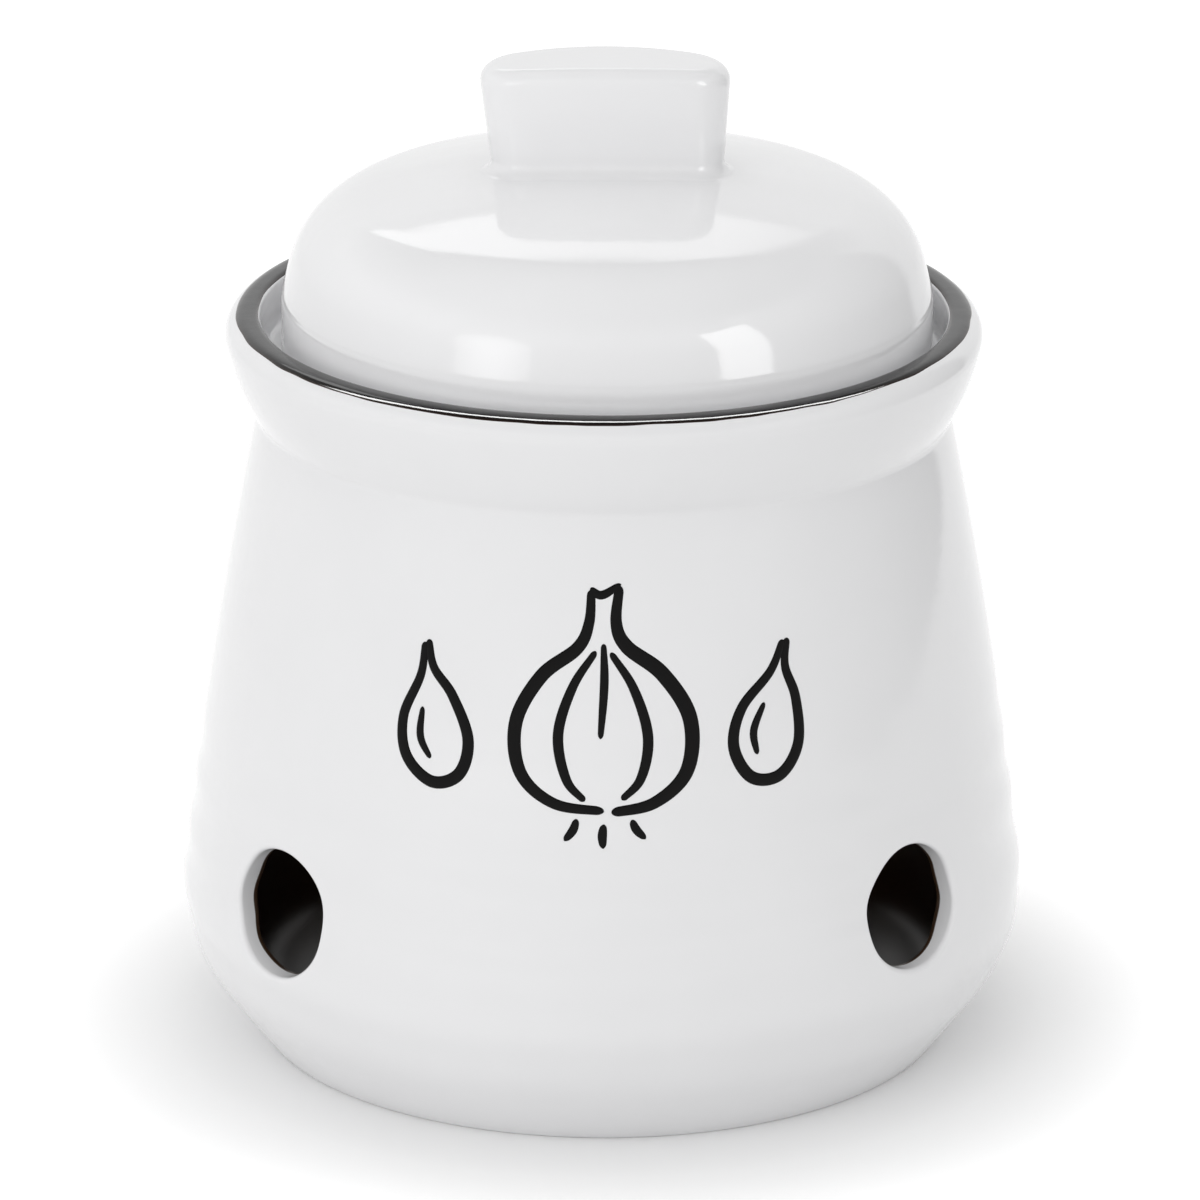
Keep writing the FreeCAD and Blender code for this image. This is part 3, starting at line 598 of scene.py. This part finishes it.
def lid_section():
    """The lid's section in stretches, from the axis under the dome, down round the spigot and the flange
    and up the outside to the crown: (points, finish)."""
    spigot_inner = (SPIGOT_RADIUS - SPIGOT_WALL, LEDGE_HEIGHT - SPIGOT_DEPTH)
    spigot_outer = (SPIGOT_RADIUS, LEDGE_HEIGHT - SPIGOT_DEPTH)
    seat = (SPIGOT_RADIUS, LEDGE_HEIGHT)
    flange = (FLANGE_RADIUS, LEDGE_HEIGHT)
    wall_end = SHOULDER + DOME_SHOULDER * toward(DOME_WALL_SLOPE)
    side = np.linspace(FLANGE_TOP - 2.4, wall_end[1], 34)
    inner_shoulder = DOME_SHOULDER - LID_WALL
    crown_joint = heading_to((0, CROWN_CENTRE), SHOULDER)
    inside_touch = touching(spigot_inner, SHOULDER, inner_shoulder)
    crown = (0, CROWN_CENTRE)
    return [
        (arc(crown, DOME_CROWN - LID_WALL, 89.2, crown_joint, 14), "glaze"),
        (arc(SHOULDER, inner_shoulder, crown_joint, inside_touch, 10)[1:], "glaze"),
        (fill_in([SHOULDER + inner_shoulder * toward(0), spigot_inner], 2.2)[1:-1], "glaze"),
        (rounded(SHOULDER, spigot_inner, spigot_outer, SPIGOT_ROUND, 5), "bare"),
        (rounded(spigot_inner, spigot_outer, seat, SPIGOT_ROUND, 5), "bare"),
        (upright_run(SPIGOT_RADIUS, LEDGE_HEIGHT - 4.4, LEDGE_HEIGHT - 0.3, 1.4), "bare"),
        (level_run(SPIGOT_RADIUS + 0.3, FLANGE_RADIUS - 1.1, LEDGE_HEIGHT, 1.0), "bare"),
        (rounded(seat, flange, (FLANGE_RADIUS, FLANGE_TOP), FLANGE_ROUND, 6), "glaze"),
        (upright_run(FLANGE_RADIUS, LEDGE_HEIGHT + 1.1, side[0] - 0.4, 1.2), "glaze"),
        (np.column_stack([flange_side(side, wall_end), side]), "glaze"),
        (arc(SHOULDER, DOME_SHOULDER, DOME_WALL_SLOPE, crown_joint, 24)[1:], "glaze"),
    ]


def oval(azimuth, long_half, short_half, grow=0.0):
    """A four-arc oval's points by their normals' azimuth: an arc's centre plus its radius along the normal.
    The end arcs run into the side arcs without a corner. grow stands the oval off."""
    end = (long_half**2 + (KNOB_SIDE - short_half) ** 2 - KNOB_SIDE**2) / (2 * (long_half - KNOB_SIDE))
    reach = long_half - end
    back = KNOB_SIDE - short_half
    sine, cosine = np.sin(azimuth), np.cos(azimuth)
    on_side = np.abs(sine) * back < np.abs(cosine) * reach
    radius = np.where(on_side, KNOB_SIDE, end) + grow
    centre_x = np.where(on_side, 0, np.sign(sine) * reach)
    centre_y = np.where(on_side, np.sign(cosine) * back, 0)
    return np.stack([centre_x + radius * sine, centre_y - radius * cosine], axis=-1)


def even_azimuths(columns):
    """Normals' azimuths for which the knob's outline is cut into even lengths, starting at the front."""
    fine = np.linspace(0, TURN, 4001)
    outline = oval(fine, KNOB_LENGTH / 2, KNOB_WIDTH / 2)
    length = np.concatenate([[0], np.cumsum(gaps_between(outline))])
    return np.interp(np.arange(columns) / columns * length[-1], length, fine)


def dome_height(plan):
    """The crown's height over a place: its centre plus the root of its radius squared less the reach
    squared."""
    return CROWN_CENTRE + np.sqrt(DOME_CROWN**2 - (plan**2).sum(-1))


def crown_height(plan):
    """The knob's top over a place, arched along the knob only."""
    return KNOB_TOP - KNOB_CROWN + np.sqrt(KNOB_CROWN**2 - plan[..., 0] ** 2)


def knob_plan(normal, height, grow):
    """The knob's outline at a height: the oval grows evenly from foot to top, and its centre moves with
    the knob's lean."""
    share = np.clip((height - DOME_TOP) / KNOB_HEIGHT, -0.1, 1)[:, None]
    low = oval(normal, KNOB_LENGTH / 2 - KNOB_DRAW, KNOB_WIDTH / 2 - KNOB_DRAW, grow)
    high = oval(normal, KNOB_LENGTH / 2, KNOB_WIDTH / 2, grow)
    lean = np.array([KNOB_LEAN, 0]) * np.maximum(share, 0)
    return low + (high - low) * share + lean


def knob_rings():
    """The rings over the dome and the knob: circles that turn into the foot's oval, a quarter circle of
    slip up the foot, the drawn-in side, a quarter circle over the top edge, and shrinking ovals on top."""
    normal = even_azimuths(COLUMNS)
    crown_radius = DOME_CROWN * SHOULDER[0] / (DOME_CROWN - DOME_SHOULDER)
    circle = crown_radius * np.column_stack([np.sin(AZIMUTHS), -np.cos(AZIMUTHS)])
    level = np.full(COLUMNS, DOME_TOP)
    foot = knob_plan(normal, level, KNOB_FOOT_ROUND)
    rings = []

    def add(plan, height):
        rings.append(np.column_stack([plan, height]))

    for share in np.linspace(0, 1, 18)[1:]:
        plan = circle + (foot - circle) * share
        add(plan, dome_height(plan))
    for angle in np.radians(np.linspace(0, 90, 8)[1:]):
        plan = knob_plan(normal, level, KNOB_FOOT_ROUND * (1 - math.sin(angle)))
        add(plan, dome_height(plan) + KNOB_FOOT_ROUND * (1 - math.cos(angle)))
    low = rings[-1][:, 2]
    high = crown_height(knob_plan(normal, level + KNOB_HEIGHT, 0)) - KNOB_TOP_ROUND
    for share in np.linspace(0, 1, 14)[1:]:
        height = low + (high - low) * share
        add(knob_plan(normal, height, 0), height)
    for angle in np.radians(np.linspace(0, 90, 10)[1:]):
        height = high + KNOB_TOP_ROUND * math.sin(angle)
        plan = knob_plan(normal, height, -KNOB_TOP_ROUND * (1 - math.cos(angle)))
        add(plan, crown_height(plan) - KNOB_TOP_ROUND * (1 - math.sin(angle)))
    rim = rings[-1][:, :2]
    for share in np.linspace(1, 0, 10)[1:-1]:
        add(rim * share, crown_height(rim * share))
    return np.array(rings)


def make_lid():
    """The lid as one closed skin, dome and knob glazed over together."""
    turned, bare = [], []
    for points, finish in lid_section():
        turned.append(around(points[:, :1], AZIMUTHS[None, :], points[:, 1:]))
        bare.append(np.full(len(points), finish == "bare"))
    knob = knob_rings()
    rings = np.concatenate(turned + [knob])
    bare = np.concatenate(bare + [np.zeros(len(knob))])
    numbers = np.arange(rings[..., 0].size).reshape(rings.shape[:2])
    poles = [(0, 0, DOME_TOP - LID_WALL), (0, 0, KNOB_TOP)]
    attributes = {"bare": np.append(np.repeat(bare, COLUMNS), [0, 0])}
    attributes["dark_inside"] = attributes["bare"] * 0
    points = np.concatenate([rings.reshape(-1, 3), poles]) + (LID_SHIFT, 0, 0)
    triangles = end_caps(numbers, numbers.size)
    piece = make_piece("lid", points, ring_quads(numbers), triangles, "lid", attributes)
    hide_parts("lid_dome", "lid_knob")
    return piece


# The motif ------------------

MOTIF_HEIGHT = 66.5
STROKE_HEIGHT = 0.13
STROKE_SUNK = 0.2
STROKE_SIDES = 12
STROKE_STEP = 0.3

# Each line's points across and up from the motif's centre, and the brush's half width at its thickest.
BULB = [
    ([(-1.7, 16.0), (-2.0, 11.5), (-3.6, 8.0), (-8.6, 4.0), (-12.0, -2.5), (-11.2, -9.5), (-6.6, -13.6),
      (0.2, -14.6)], 0.98),
    ([(2.4, 16.6), (1.9, 11.5), (3.4, 8.2), (8.4, 4.3), (12.1, -2.0), (11.5, -9.2), (7.0, -13.5),
      (1.2, -14.8)], 1.08),
    ([(-1.9, 16.2), (-0.2, 15.3), (2.6, 16.8)], 0.62),
    ([(-1.0, 7.6), (-4.2, 2.6), (-6.1, -4.0), (-4.9, -10.2), (-2.4, -13.2)], 0.74),
    ([(1.1, 7.4), (4.3, 2.4), (6.2, -4.2), (5.2, -10.0), (2.6, -13.0)], 0.74),
    ([(0.1, 8.6), (0.2, 3.0), (-0.3, -4.5)], 0.62),
    ([(-3.4, -15.7), (-3.9, -17.3), (-5.0, -18.8)], 0.6),
    ([(0.2, -16.4), (0.0, -18.0), (0.1, -19.8)], 0.62),
    ([(3.9, -15.8), (4.5, -17.2), (5.7, -18.5)], 0.6),
]
CLOVE = [
    ([(0.4, 10.6), (-1.0, 6.2), (-4.6, 0.8), (-5.0, -4.6), (-1.8, -8.6), (2.4, -8.0), (4.6, -3.4),
      (3.4, 2.8), (1.2, 7.0), (1.0, 10.9)], 0.88),
    ([(-1.4, 1.8), (-2.4, -2.2), (-1.4, -5.4)], 0.58),
]


def curve_through(points, share):
    """A smooth line through points, at shares of the way: cubic pieces whose slope at each point is half
    the way between its neighbours (Catmull-Rom)."""
    points = np.asarray(points, float)
    points = np.concatenate([[2 * points[0] - points[1]], points, [2 * points[-1] - points[-2]]])
    place = share * (len(points) - 3)
    index = np.minimum(place.astype(int), len(points) - 4)
    t = (place - index)[..., None]
    before, start, end, after = (points[index + offset] for offset in range(4))
    return 0.5 * (
        2 * start
        + (end - before) * t
        + (2 * before - 5 * start + 4 * end - after) * t**2
        + (3 * start - before - 3 * end + after) * t**3
    )


def stroke_rings(points, half_width, steps):
    """A brush stroke on the jar: a flat oval carried along a line. Across, it reaches the brush's half
    width, which swells by half a sine wave and ends round as a circle does; it stands off the wall by the
    sine of the way round."""
    share = 0.5 - 0.5 * np.cos(np.linspace(0, math.pi, steps + 1))
    line = curve_through(points, share)
    ahead = np.diff(curve_through(points, np.clip(share + [[-1e-3], [1e-3]], 0, 1)), axis=0)[0]
    ahead /= np.hypot(*ahead.T)[:, None]
    left = np.column_stack([-ahead[:, 1], ahead[:, 0]])
    length = gaps_between(line).sum()
    to_end = np.minimum(np.minimum(share, 1 - share) * length / half_width, 1)
    rounding = np.sqrt(np.maximum(1 - (1 - to_end) ** 2, 0.004))
    pressure = half_width * (0.62 + 0.38 * np.sin(math.pi * share)) * rounding
    turn = np.linspace(0, TURN, STROKE_SIDES, endpoint=False)
    across = pressure[:, None] * np.cos(turn)
    lift = np.where(np.sin(turn) > 0, STROKE_HEIGHT, STROKE_SUNK) * np.sin(turn) * np.ones((steps + 1, 1))
    flat = line[:, None] + left[:, None] * across[..., None]
    height = MOTIF_HEIGHT + flat[..., 1]
    azimuth = flat[..., 0] / side_radius(MOTIF_HEIGHT, BELLY_ARC, OUTER_BOW)
    return around(outside(azimuth, height) + lift, azimuth, height)


def moved(stroke, across, up, lean):
    """A stroke turned by an angle in degrees and moved."""
    points, half_width = stroke
    turn = math.radians(lean)
    spin = np.array([[math.cos(turn), math.sin(turn)], [-math.sin(turn), math.cos(turn)]])
    return np.asarray(points) @ spin + (across, up), half_width


def make_motif():
    """The painted bulb and cloves, each stroke a closed skin."""
    strokes = [moved(stroke, 0, 0, 0) for stroke in BULB]
    strokes += [moved(stroke, -24.0, -3.5, 14) for stroke in CLOVE]
    strokes += [moved(stroke, 24.0, -3.0, -12) for stroke in CLOVE]
    points, quads, triangles = [], [], []
    total = 0
    for line, half_width in strokes:
        rings = stroke_rings(line, half_width, max(int(gaps_between(line).sum() / STROKE_STEP), 24))
        numbers = total + np.arange(rings[..., 0].size).reshape(rings.shape[:2])
        poles = rings[[0, -1]].mean(axis=1)
        points += [rings.reshape(-1, 3), poles]
        quads.append(ring_quads(numbers))
        triangles.append(end_caps(numbers, total + numbers.size))
        total += numbers.size + 2
    points = np.concatenate(points)
    piece = make_piece("bulb_motif", points, np.concatenate(quads), np.concatenate(triangles), "jar",
                       {"edge": np.zeros(len(points))})
    return piece


# Materials ------------------


def paint(hex_colour):
    """An sRGB hex colour as linear red, green, blue and alpha."""
    parts = [int(hex_colour[i : i + 2], 16) / 255 for i in (1, 3, 5)]
    return [p / 12.92 if p <= 0.04045 else ((p + 0.055) / 1.055) ** 2.4 for p in parts] + [1.0]


def per_metre(millimetres):
    """A texture's scale for a feature of that size."""
    return 1 / (millimetres * MM)


def add_node(tree, kind, inputs, output=0, **settings):
    """Adds a shader node and gives one of its outputs. An input is a value, a hex colour, or a socket
    that it is linked to."""
    node = tree.nodes.new("ShaderNode" + kind)
    for name, value in settings.items():
        setattr(node, name, value)
    for name, value in inputs.items():
        if isinstance(value, bpy.types.NodeSocket):
            tree.links.new(value, node.inputs[name])
        else:
            node.inputs[name].default_value = paint(value) if isinstance(value, str) else value
    return node.outputs[output]


def new_material(name, settings):
    """A material and its one shader, with constants set on the shader's own sockets, and the place that
    its patterns follow."""
    material = bpy.data.materials.new(name)
    material.use_nodes = True
    tree = material.node_tree
    shader = tree.nodes["Principled BSDF"]
    for socket, value in settings.items():
        shader.inputs[socket].default_value = value
    return material, tree, shader, add_node(tree, "TexCoord", {}, "Object")


def combine(tree, operation, *values):
    """Values worked together one after another, as their sum, product, difference or greatest."""
    total = values[0]
    for value in values[1:]:
        total = add_node(tree, "Math", {0: total, 1: value}, operation=operation)
    return total


def noise(tree, place, size, detail=2.0, stretch=(1, 1, 1)):
    """Noise about 0.5 with features of a size in millimetres, longer where the stretch is below 1."""
    placed = add_node(tree, "Mapping", {"Scale": stretch, "Vector": place})
    return add_node(tree, "TexNoise", {"Scale": per_metre(size), "Detail": detail, "Vector": placed})


def centred(tree, source, reach):
    """Noise about 0.5 brought to about 0, and scaled to a reach."""
    return combine(tree, "MULTIPLY", combine(tree, "SUBTRACT", source, 0.5), reach)


def blend(tree, share, one, other):
    """A value between two: one + (other - one) * share."""
    step = combine(tree, "SUBTRACT", other, one)
    return combine(tree, "ADD", one, combine(tree, "MULTIPLY", step, share))


def glaze_over(tree, share, under, over):
    """The colour where one finish gives way to another by a share."""
    return add_node(tree, "Mix", {0: share, 6: under, 7: over}, 2, data_type="RGBA")


def glaze_line(tree, label, source, reach):
    """Where a finish begins: the piece's own mark, made uneven by noise and sharpened to an edge."""
    mark = add_node(tree, "Attribute", {}, "Fac", attribute_name=label)
    uneven = combine(tree, "ADD", mark, centred(tree, source, reach))
    return add_node(tree, "MapRange", {"From Min": 0.42, "From Max": 0.58, "Value": uneven})


def raise_surface(tree, shader, height):
    """Bumps a shader's surface by a height in millimetres."""
    bump = add_node(tree, "Bump", {"Strength": 1.0, "Distance": MM, "Height": height})
    tree.links.new(bump, shader.inputs["Normal"])


def white_stoneware():
    """Stoneware dipped in white glaze, coloured dark brown-black inside, and bare buff clay where it
    stood in the kiln. To the eye: a clean white with faint clouds, a wet shine broken by slight orange peel
    and by rings that run round, and a stray iron speck."""
    material, tree, shader, place = new_material("white glaze on stoneware", {"IOR": 1.52, "Metallic": 0.0})

    white = glaze_over(tree, noise(tree, place, 26.0, 3.0), "#F0F0F1", "#EAEAEB")
    distance = add_node(tree, "TexVoronoi", {"Scale": per_metre(13.0), "Vector": place}, "Distance")
    speck = add_node(tree, "MapRange", {"From Min": 0.022, "From Max": 0.014, "Value": distance})
    chance = add_node(tree, "SeparateColor", {"Color": distance.node.outputs["Color"]}, "Red")
    chosen = add_node(tree, "Math", {0: chance, 1: 0.9}, operation="GREATER_THAN")
    white = glaze_over(tree, combine(tree, "MULTIPLY", speck, chosen), white, "#8A7F74")

    grit = noise(tree, place, 0.5, 3.0)
    dark_inside = glaze_line(tree, "dark_inside", noise(tree, place, 5.0), 0.35)
    bare = glaze_line(tree, "bare", noise(tree, place, 4.0), 0.5)
    # the dark brown-black colour of the jar's inside and of the vents' inner rings
    dark = glaze_over(tree, noise(tree, place, 9.0, 4.0), "#38271B", "#443122")
    buff = glaze_over(tree, grit, "#D8CBB6", "#C6B79F")
    colour = glaze_over(tree, bare, glaze_over(tree, dark_inside, white, dark), buff)
    tree.links.new(colour, shader.inputs["Base Color"])

    patches = centred(tree, noise(tree, place, 15.0, 3.0), 0.06)
    gloss = blend(tree, dark_inside, combine(tree, "ADD", patches, 0.09), 0.32)
    tree.links.new(blend(tree, bare, gloss, 0.85), shader.inputs["Roughness"])

    # heights in millimetres: orange peel, slow swells, and fine rings that follow the wheel
    peel = centred(tree, noise(tree, place, 2.2, 1.0), 0.010)
    swell = centred(tree, noise(tree, place, 14.0, 1.0), 0.06)
    rings = centred(tree, noise(tree, place, 3.0, 1.0, (0.06, 0.06, 1.0)), 0.014)
    smooth = combine(tree, "ADD", peel, swell, rings)
    raise_surface(tree, shader, blend(tree, bare, smooth, centred(tree, grit, 0.06)))
    return material


def black_underglaze():
    """Black underglaze, painted on the raw glaze and sunk into it in the firing. To the eye: a flat, dense
    black with hardly a shine, a touch browner where the brush ran dry."""
    material, tree, shader, place = new_material(
        "black underglaze", {"IOR": 1.5, "Metallic": 0.0, "Roughness": 0.35, "Specular IOR Level": 0.12})
    black = glaze_over(tree, noise(tree, place, 1.5), "#050506", "#0C0A09")
    tree.links.new(black, shader.inputs["Base Color"])
    return material


def black_overglaze():
    """Black iron overglaze, brushed on by hand. To the eye: a deep wet black, a touch brown where it runs
    thin at its edge, with faint brush lines that follow the lip."""
    material, tree, shader, place = new_material(
        "black overglaze", {"IOR": 1.55, "Metallic": 0.0, "Specular IOR Level": 0.3})
    brush = noise(tree, place, 0.8, 2.0, (0.10, 0.10, 1.0))
    edge = add_node(tree, "Attribute", {}, "Fac", attribute_name="edge")
    black = glaze_over(tree, brush, "#040405", "#0A0A0B")
    colour = glaze_over(tree, combine(tree, "MULTIPLY", edge, 0.8), black, "#3A2A20")
    tree.links.new(colour, shader.inputs["Base Color"])
    gloss = combine(tree, "ADD", centred(tree, noise(tree, place, 6.0), 0.08), 0.10)
    tree.links.new(gloss, shader.inputs["Roughness"])
    runs = centred(tree, noise(tree, place, 3.0), 0.03)
    raise_surface(tree, shader, combine(tree, "ADD", centred(tree, brush, 0.02), runs))
    return material


# The stage ------------------

FLOOR_HALF = 3.0
# A reach in metres from the jar's axis and the floor's added glow there, under the jar and past its shadow.
GLOW_NEAR, GLOW_FAR = (0.058, 0.07), (0.092, 0.36)
# How strongly the room lights, and the elevations in degrees between which its white dims to the ceiling's.
ROOM_LIGHT = 0.67
CEILING_RISE = (26, 48)
CEILING_WHITE = 0.10
# The height that the lamps look at, in metres.
LAMP_AIM = 0.07
# Each lamp's azimuth and elevation in degrees, reach, width and height in metres, and watts.
LAMPS = {
    "front": (-16, 14, 1.5, 1.2, 0.7, 1.9),
    "front_left": (-45, 20, 1.3, 0.9, 0.7, 1.2),
    "front_above": (-15, 50, 1.3, 0.9, 0.6, 0.9),
    "low_front": (-10, 6, 2.2, 3.0, 0.4, 0.9),
    "left": (-78, 16, 1.3, 0.9, 0.7, 0.45),
    "left_back": (-125, 35, 1.3, 0.9, 0.7, 0.5),
    "right": (80, 20, 1.3, 0.7, 0.7, 0.3),
    "back": (180, 60, 1.3, 0.9, 0.6, 0.8),
    "top": (0, 89, 1.2, 0.9, 0.9, 1.4),
}
CARD_COLUMNS, CARD_ROWS = 33, 25
CAMERA_REACH = 1.3
CAMERA_ELEVATION = math.radians(18.95)
CAMERA_AIM = (-0.00043, 0.0, 0.06332)
CAMERA_ROLL = math.radians(0.19)
CAMERA_LENS = 270.7


def seen_ray(tree):
    """1 for rays from the camera, off a gloss or through glass, and 0 for those that carry light."""
    rays = add_node(tree, "LightPath", {}).node.outputs
    kinds = [rays[f"Is {kind} Ray"] for kind in ("Camera", "Glossy", "Transmission")]
    return combine(tree, "MAXIMUM", *kinds)


def make_floor():
    """A pale matt table top. It is seen brighter than it lights the jar, the more so away from the jar's
    shadow."""
    mesh = bpy.data.meshes.new("floor")
    corners = [(x * FLOOR_HALF, y * FLOOR_HALF, 0) for x, y in ((-1, -1), (1, -1), (1, 1), (-1, 1))]
    mesh.from_pydata(corners, [], [(0, 1, 2, 3)])
    material, tree, shader, place = new_material("matt white board", {
        "Roughness": 0.9, "Specular IOR Level": 0.0, "Base Color": paint("#F4F4F4")})
    away = add_node(tree, "VectorMath", {0: place}, "Value", operation="LENGTH")
    level = add_node(tree, "MapRange", {
        "From Min": GLOW_NEAR[0], "From Max": GLOW_FAR[0], "To Min": GLOW_NEAR[1], "To Max": GLOW_FAR[1],
        "Value": away}, interpolation_type="SMOOTHSTEP")
    glow = add_node(tree, "Emission", {"Color": "#FFFFFF", "Strength": level})
    lit = shader.outputs["BSDF"]
    both = add_node(tree, "AddShader", {0: lit, 1: glow})
    mixed = add_node(tree, "MixShader", {0: seen_ray(tree), 1: lit, 2: both})
    tree.links.new(mixed, tree.nodes["Material Output"].inputs["Surface"])
    mesh.materials.append(material)
    stand("floor", mesh)


def make_world():
    """An even pale studio: it lights at one strength, and is seen as white up to a dim ceiling."""
    world = bpy.data.worlds.new("studio")
    world.use_nodes = True
    bpy.context.scene.world = world
    tree = world.node_tree
    way = add_node(tree, "TexCoord", {}, "Generated")
    rise = add_node(tree, "SeparateXYZ", {"Vector": way}, "Z")
    low, high = (math.sin(math.radians(elevation)) for elevation in CEILING_RISE)
    ceiling = add_node(tree, "MapRange", {
        "From Min": low, "From Max": high, "To Min": 1.0, "To Max": CEILING_WHITE, "Value": rise})
    strength = blend(tree, seen_ray(tree), ROOM_LIGHT, ceiling)
    tree.nodes["Background"].inputs["Color"].default_value = paint("#FFFFFF")
    tree.links.new(strength, tree.nodes["Background"].inputs["Strength"])


def softbox(name, azimuth, elevation, reach, width, height, watts):
    """A rectangular lamp behind cloth, turned to the jar. Neither the camera nor the glaze sees it."""
    lamp = bpy.data.lights.new(name, "AREA")
    lamp.shape = "RECTANGLE"
    lamp.size, lamp.size_y, lamp.energy = width, height, watts
    holder = stand(name, lamp)
    away = Vector(around(1.0, math.radians(azimuth), math.tan(math.radians(elevation)))).normalized()
    holder.location = Vector((0, 0, LAMP_AIM)) + away * reach
    holder.rotation_mode = "QUATERNION"
    holder.rotation_quaternion = (-away).to_track_quat("-Z", "Y")
    holder.visible_camera = holder.visible_glossy = False
    return holder


def only(name, piece):
    """A collection that holds one piece, for a lamp that reaches that piece alone."""
    collection = bpy.data.collections.new(name)
    collection.objects.link(piece)
    return collection


def mirrored_lamp(name, place, size, watts, piece, roll=0.0):
    """A lamp at a place (azimuth, elevation, reach), seen only in one piece's glaze, and turned about its
    own axis by a roll in degrees."""
    lamp = softbox(name, *place, *size, watts)
    lamp.rotation_quaternion = lamp.rotation_quaternion @ Quaternion((0, 0, 1), math.radians(roll))
    lamp.visible_glossy, lamp.visible_diffuse = True, False
    lamp.light_linking.receiver_collection = only(name, piece)
    return lamp


def make_lights():
    """Soft light from all round, most of it low from the front left, and a low fill for the lid's flange.
    Then the lamps that only glint: one on the band, and a window and a soft round lamp on the lid."""
    for name, numbers in LAMPS.items():
        softbox(name, *numbers)
    fill = softbox("lid_fill", -12, 3, 0.9, 0.8, 0.12, 0.32)
    fill.light_linking.receiver_collection = fill.light_linking.blocker_collection = only("lid_fill", lid)
    mirrored_lamp("glint", (180, 65.5, 1.1), (1.8, 0.20), 29.0, band)
    mirrored_lamp("window", (45.5, 19, 0.42), (0.13, 0.20), 0.31, lid, roll=13)
    for size, watts in ((0.06, 0.03), (0.10, 0.07), (0.15, 0.11)):
        glow = mirrored_lamp("lamp_glow", (-39, 16, 0.42), (1.3 * size, size), watts, lid)
        glow.data.shape = "ELLIPSE"


def mirrored_card(name, azimuths, elevations, reach, brightness):
    """A card bent round the jar, seen in its glaze alone: a patch of a sphere between azimuths and
    elevations in degrees. brightness gives its shade, 1 for white, from shares of the way across and up."""
    azimuth = np.radians(np.linspace(*azimuths, CARD_COLUMNS))[None, :]
    elevation = np.radians(np.linspace(*elevations, CARD_ROWS))[:, None]
    points = around(reach * np.cos(elevation), azimuth, reach * np.sin(elevation)) + (0, 0, LAMP_AIM)
    numbers = np.arange(CARD_ROWS * CARD_COLUMNS).reshape(CARD_ROWS, CARD_COLUMNS)
    quads = np.stack([numbers[:-1, :-1], numbers[:-1, 1:], numbers[1:, 1:], numbers[1:, :-1]], axis=-1)
    mesh = bpy.data.meshes.new(name)
    mesh.from_pydata(points.reshape(-1, 3).tolist(), [], quads.reshape(-1, 4).tolist())
    shade = brightness(*np.meshgrid(np.linspace(0, 1, CARD_COLUMNS), np.linspace(0, 1, CARD_ROWS)))
    point_values(mesh, "shade", shade.ravel())
    material, tree, shader, _ = new_material(name, {})
    level = add_node(tree, "Attribute", {}, "Fac", attribute_name="shade")
    glow = add_node(tree, "Emission", {"Color": "#FFFFFF", "Strength": level})
    tree.links.new(glow, tree.nodes["Material Output"].inputs["Surface"])
    tree.nodes.remove(shader)
    mesh.materials.append(material)
    card = stand(name, mesh)
    for kind in ("camera", "diffuse", "transmission", "volume_scatter", "shadow"):
        setattr(card, "visible_" + kind, False)


def make_cards():
    """Two cards that the glaze mirrors: a strip of light behind, and a dark screen on the right that fades
    out towards the front."""
    mirrored_card("strip", (158, 206), (33, 48), 1.1, lambda across, up:
                  0.6 + (0.9 + 0.7 * across) * smooth_step(0, 0.3, across) * smooth_step(0, 0.2, 1 - up))
    mirrored_card("dark_screen", (46, 134), (-8, 42), 0.49, lambda across, up:
                  1 - 0.68 * smooth_step(0, 0.8, across) * smooth_step(0, 0.06, 1 - across))


def make_camera():
    """A long lens a little above the lid, which looks along +Y."""
    camera = bpy.data.cameras.new("camera")
    camera.lens = CAMERA_LENS
    camera.sensor_width = 36.0
    camera.clip_start, camera.clip_end = 0.05, 20.0
    holder = stand("camera", camera)
    back = Vector((0, -math.cos(CAMERA_ELEVATION), math.sin(CAMERA_ELEVATION)))
    holder.location = Vector(CAMERA_AIM) + back * CAMERA_REACH
    holder.rotation_mode = "QUATERNION"
    holder.rotation_quaternion = (-back).to_track_quat("-Z", "Y") @ Quaternion((0, 0, 1), CAMERA_ROLL)
    bpy.context.scene.camera = holder


# The scene ------------------

jar, band, lid, motif = make_jar(), make_band(), make_lid(), make_motif()
white = white_stoneware()
for piece in (jar, lid):
    piece.data.materials.append(white)
band.data.materials.append(black_overglaze())
motif.data.materials.append(black_underglaze())
make_floor()
make_world()
make_lights()
make_cards()
make_camera()
bpy.context.scene.view_settings.view_transform = "Standard"
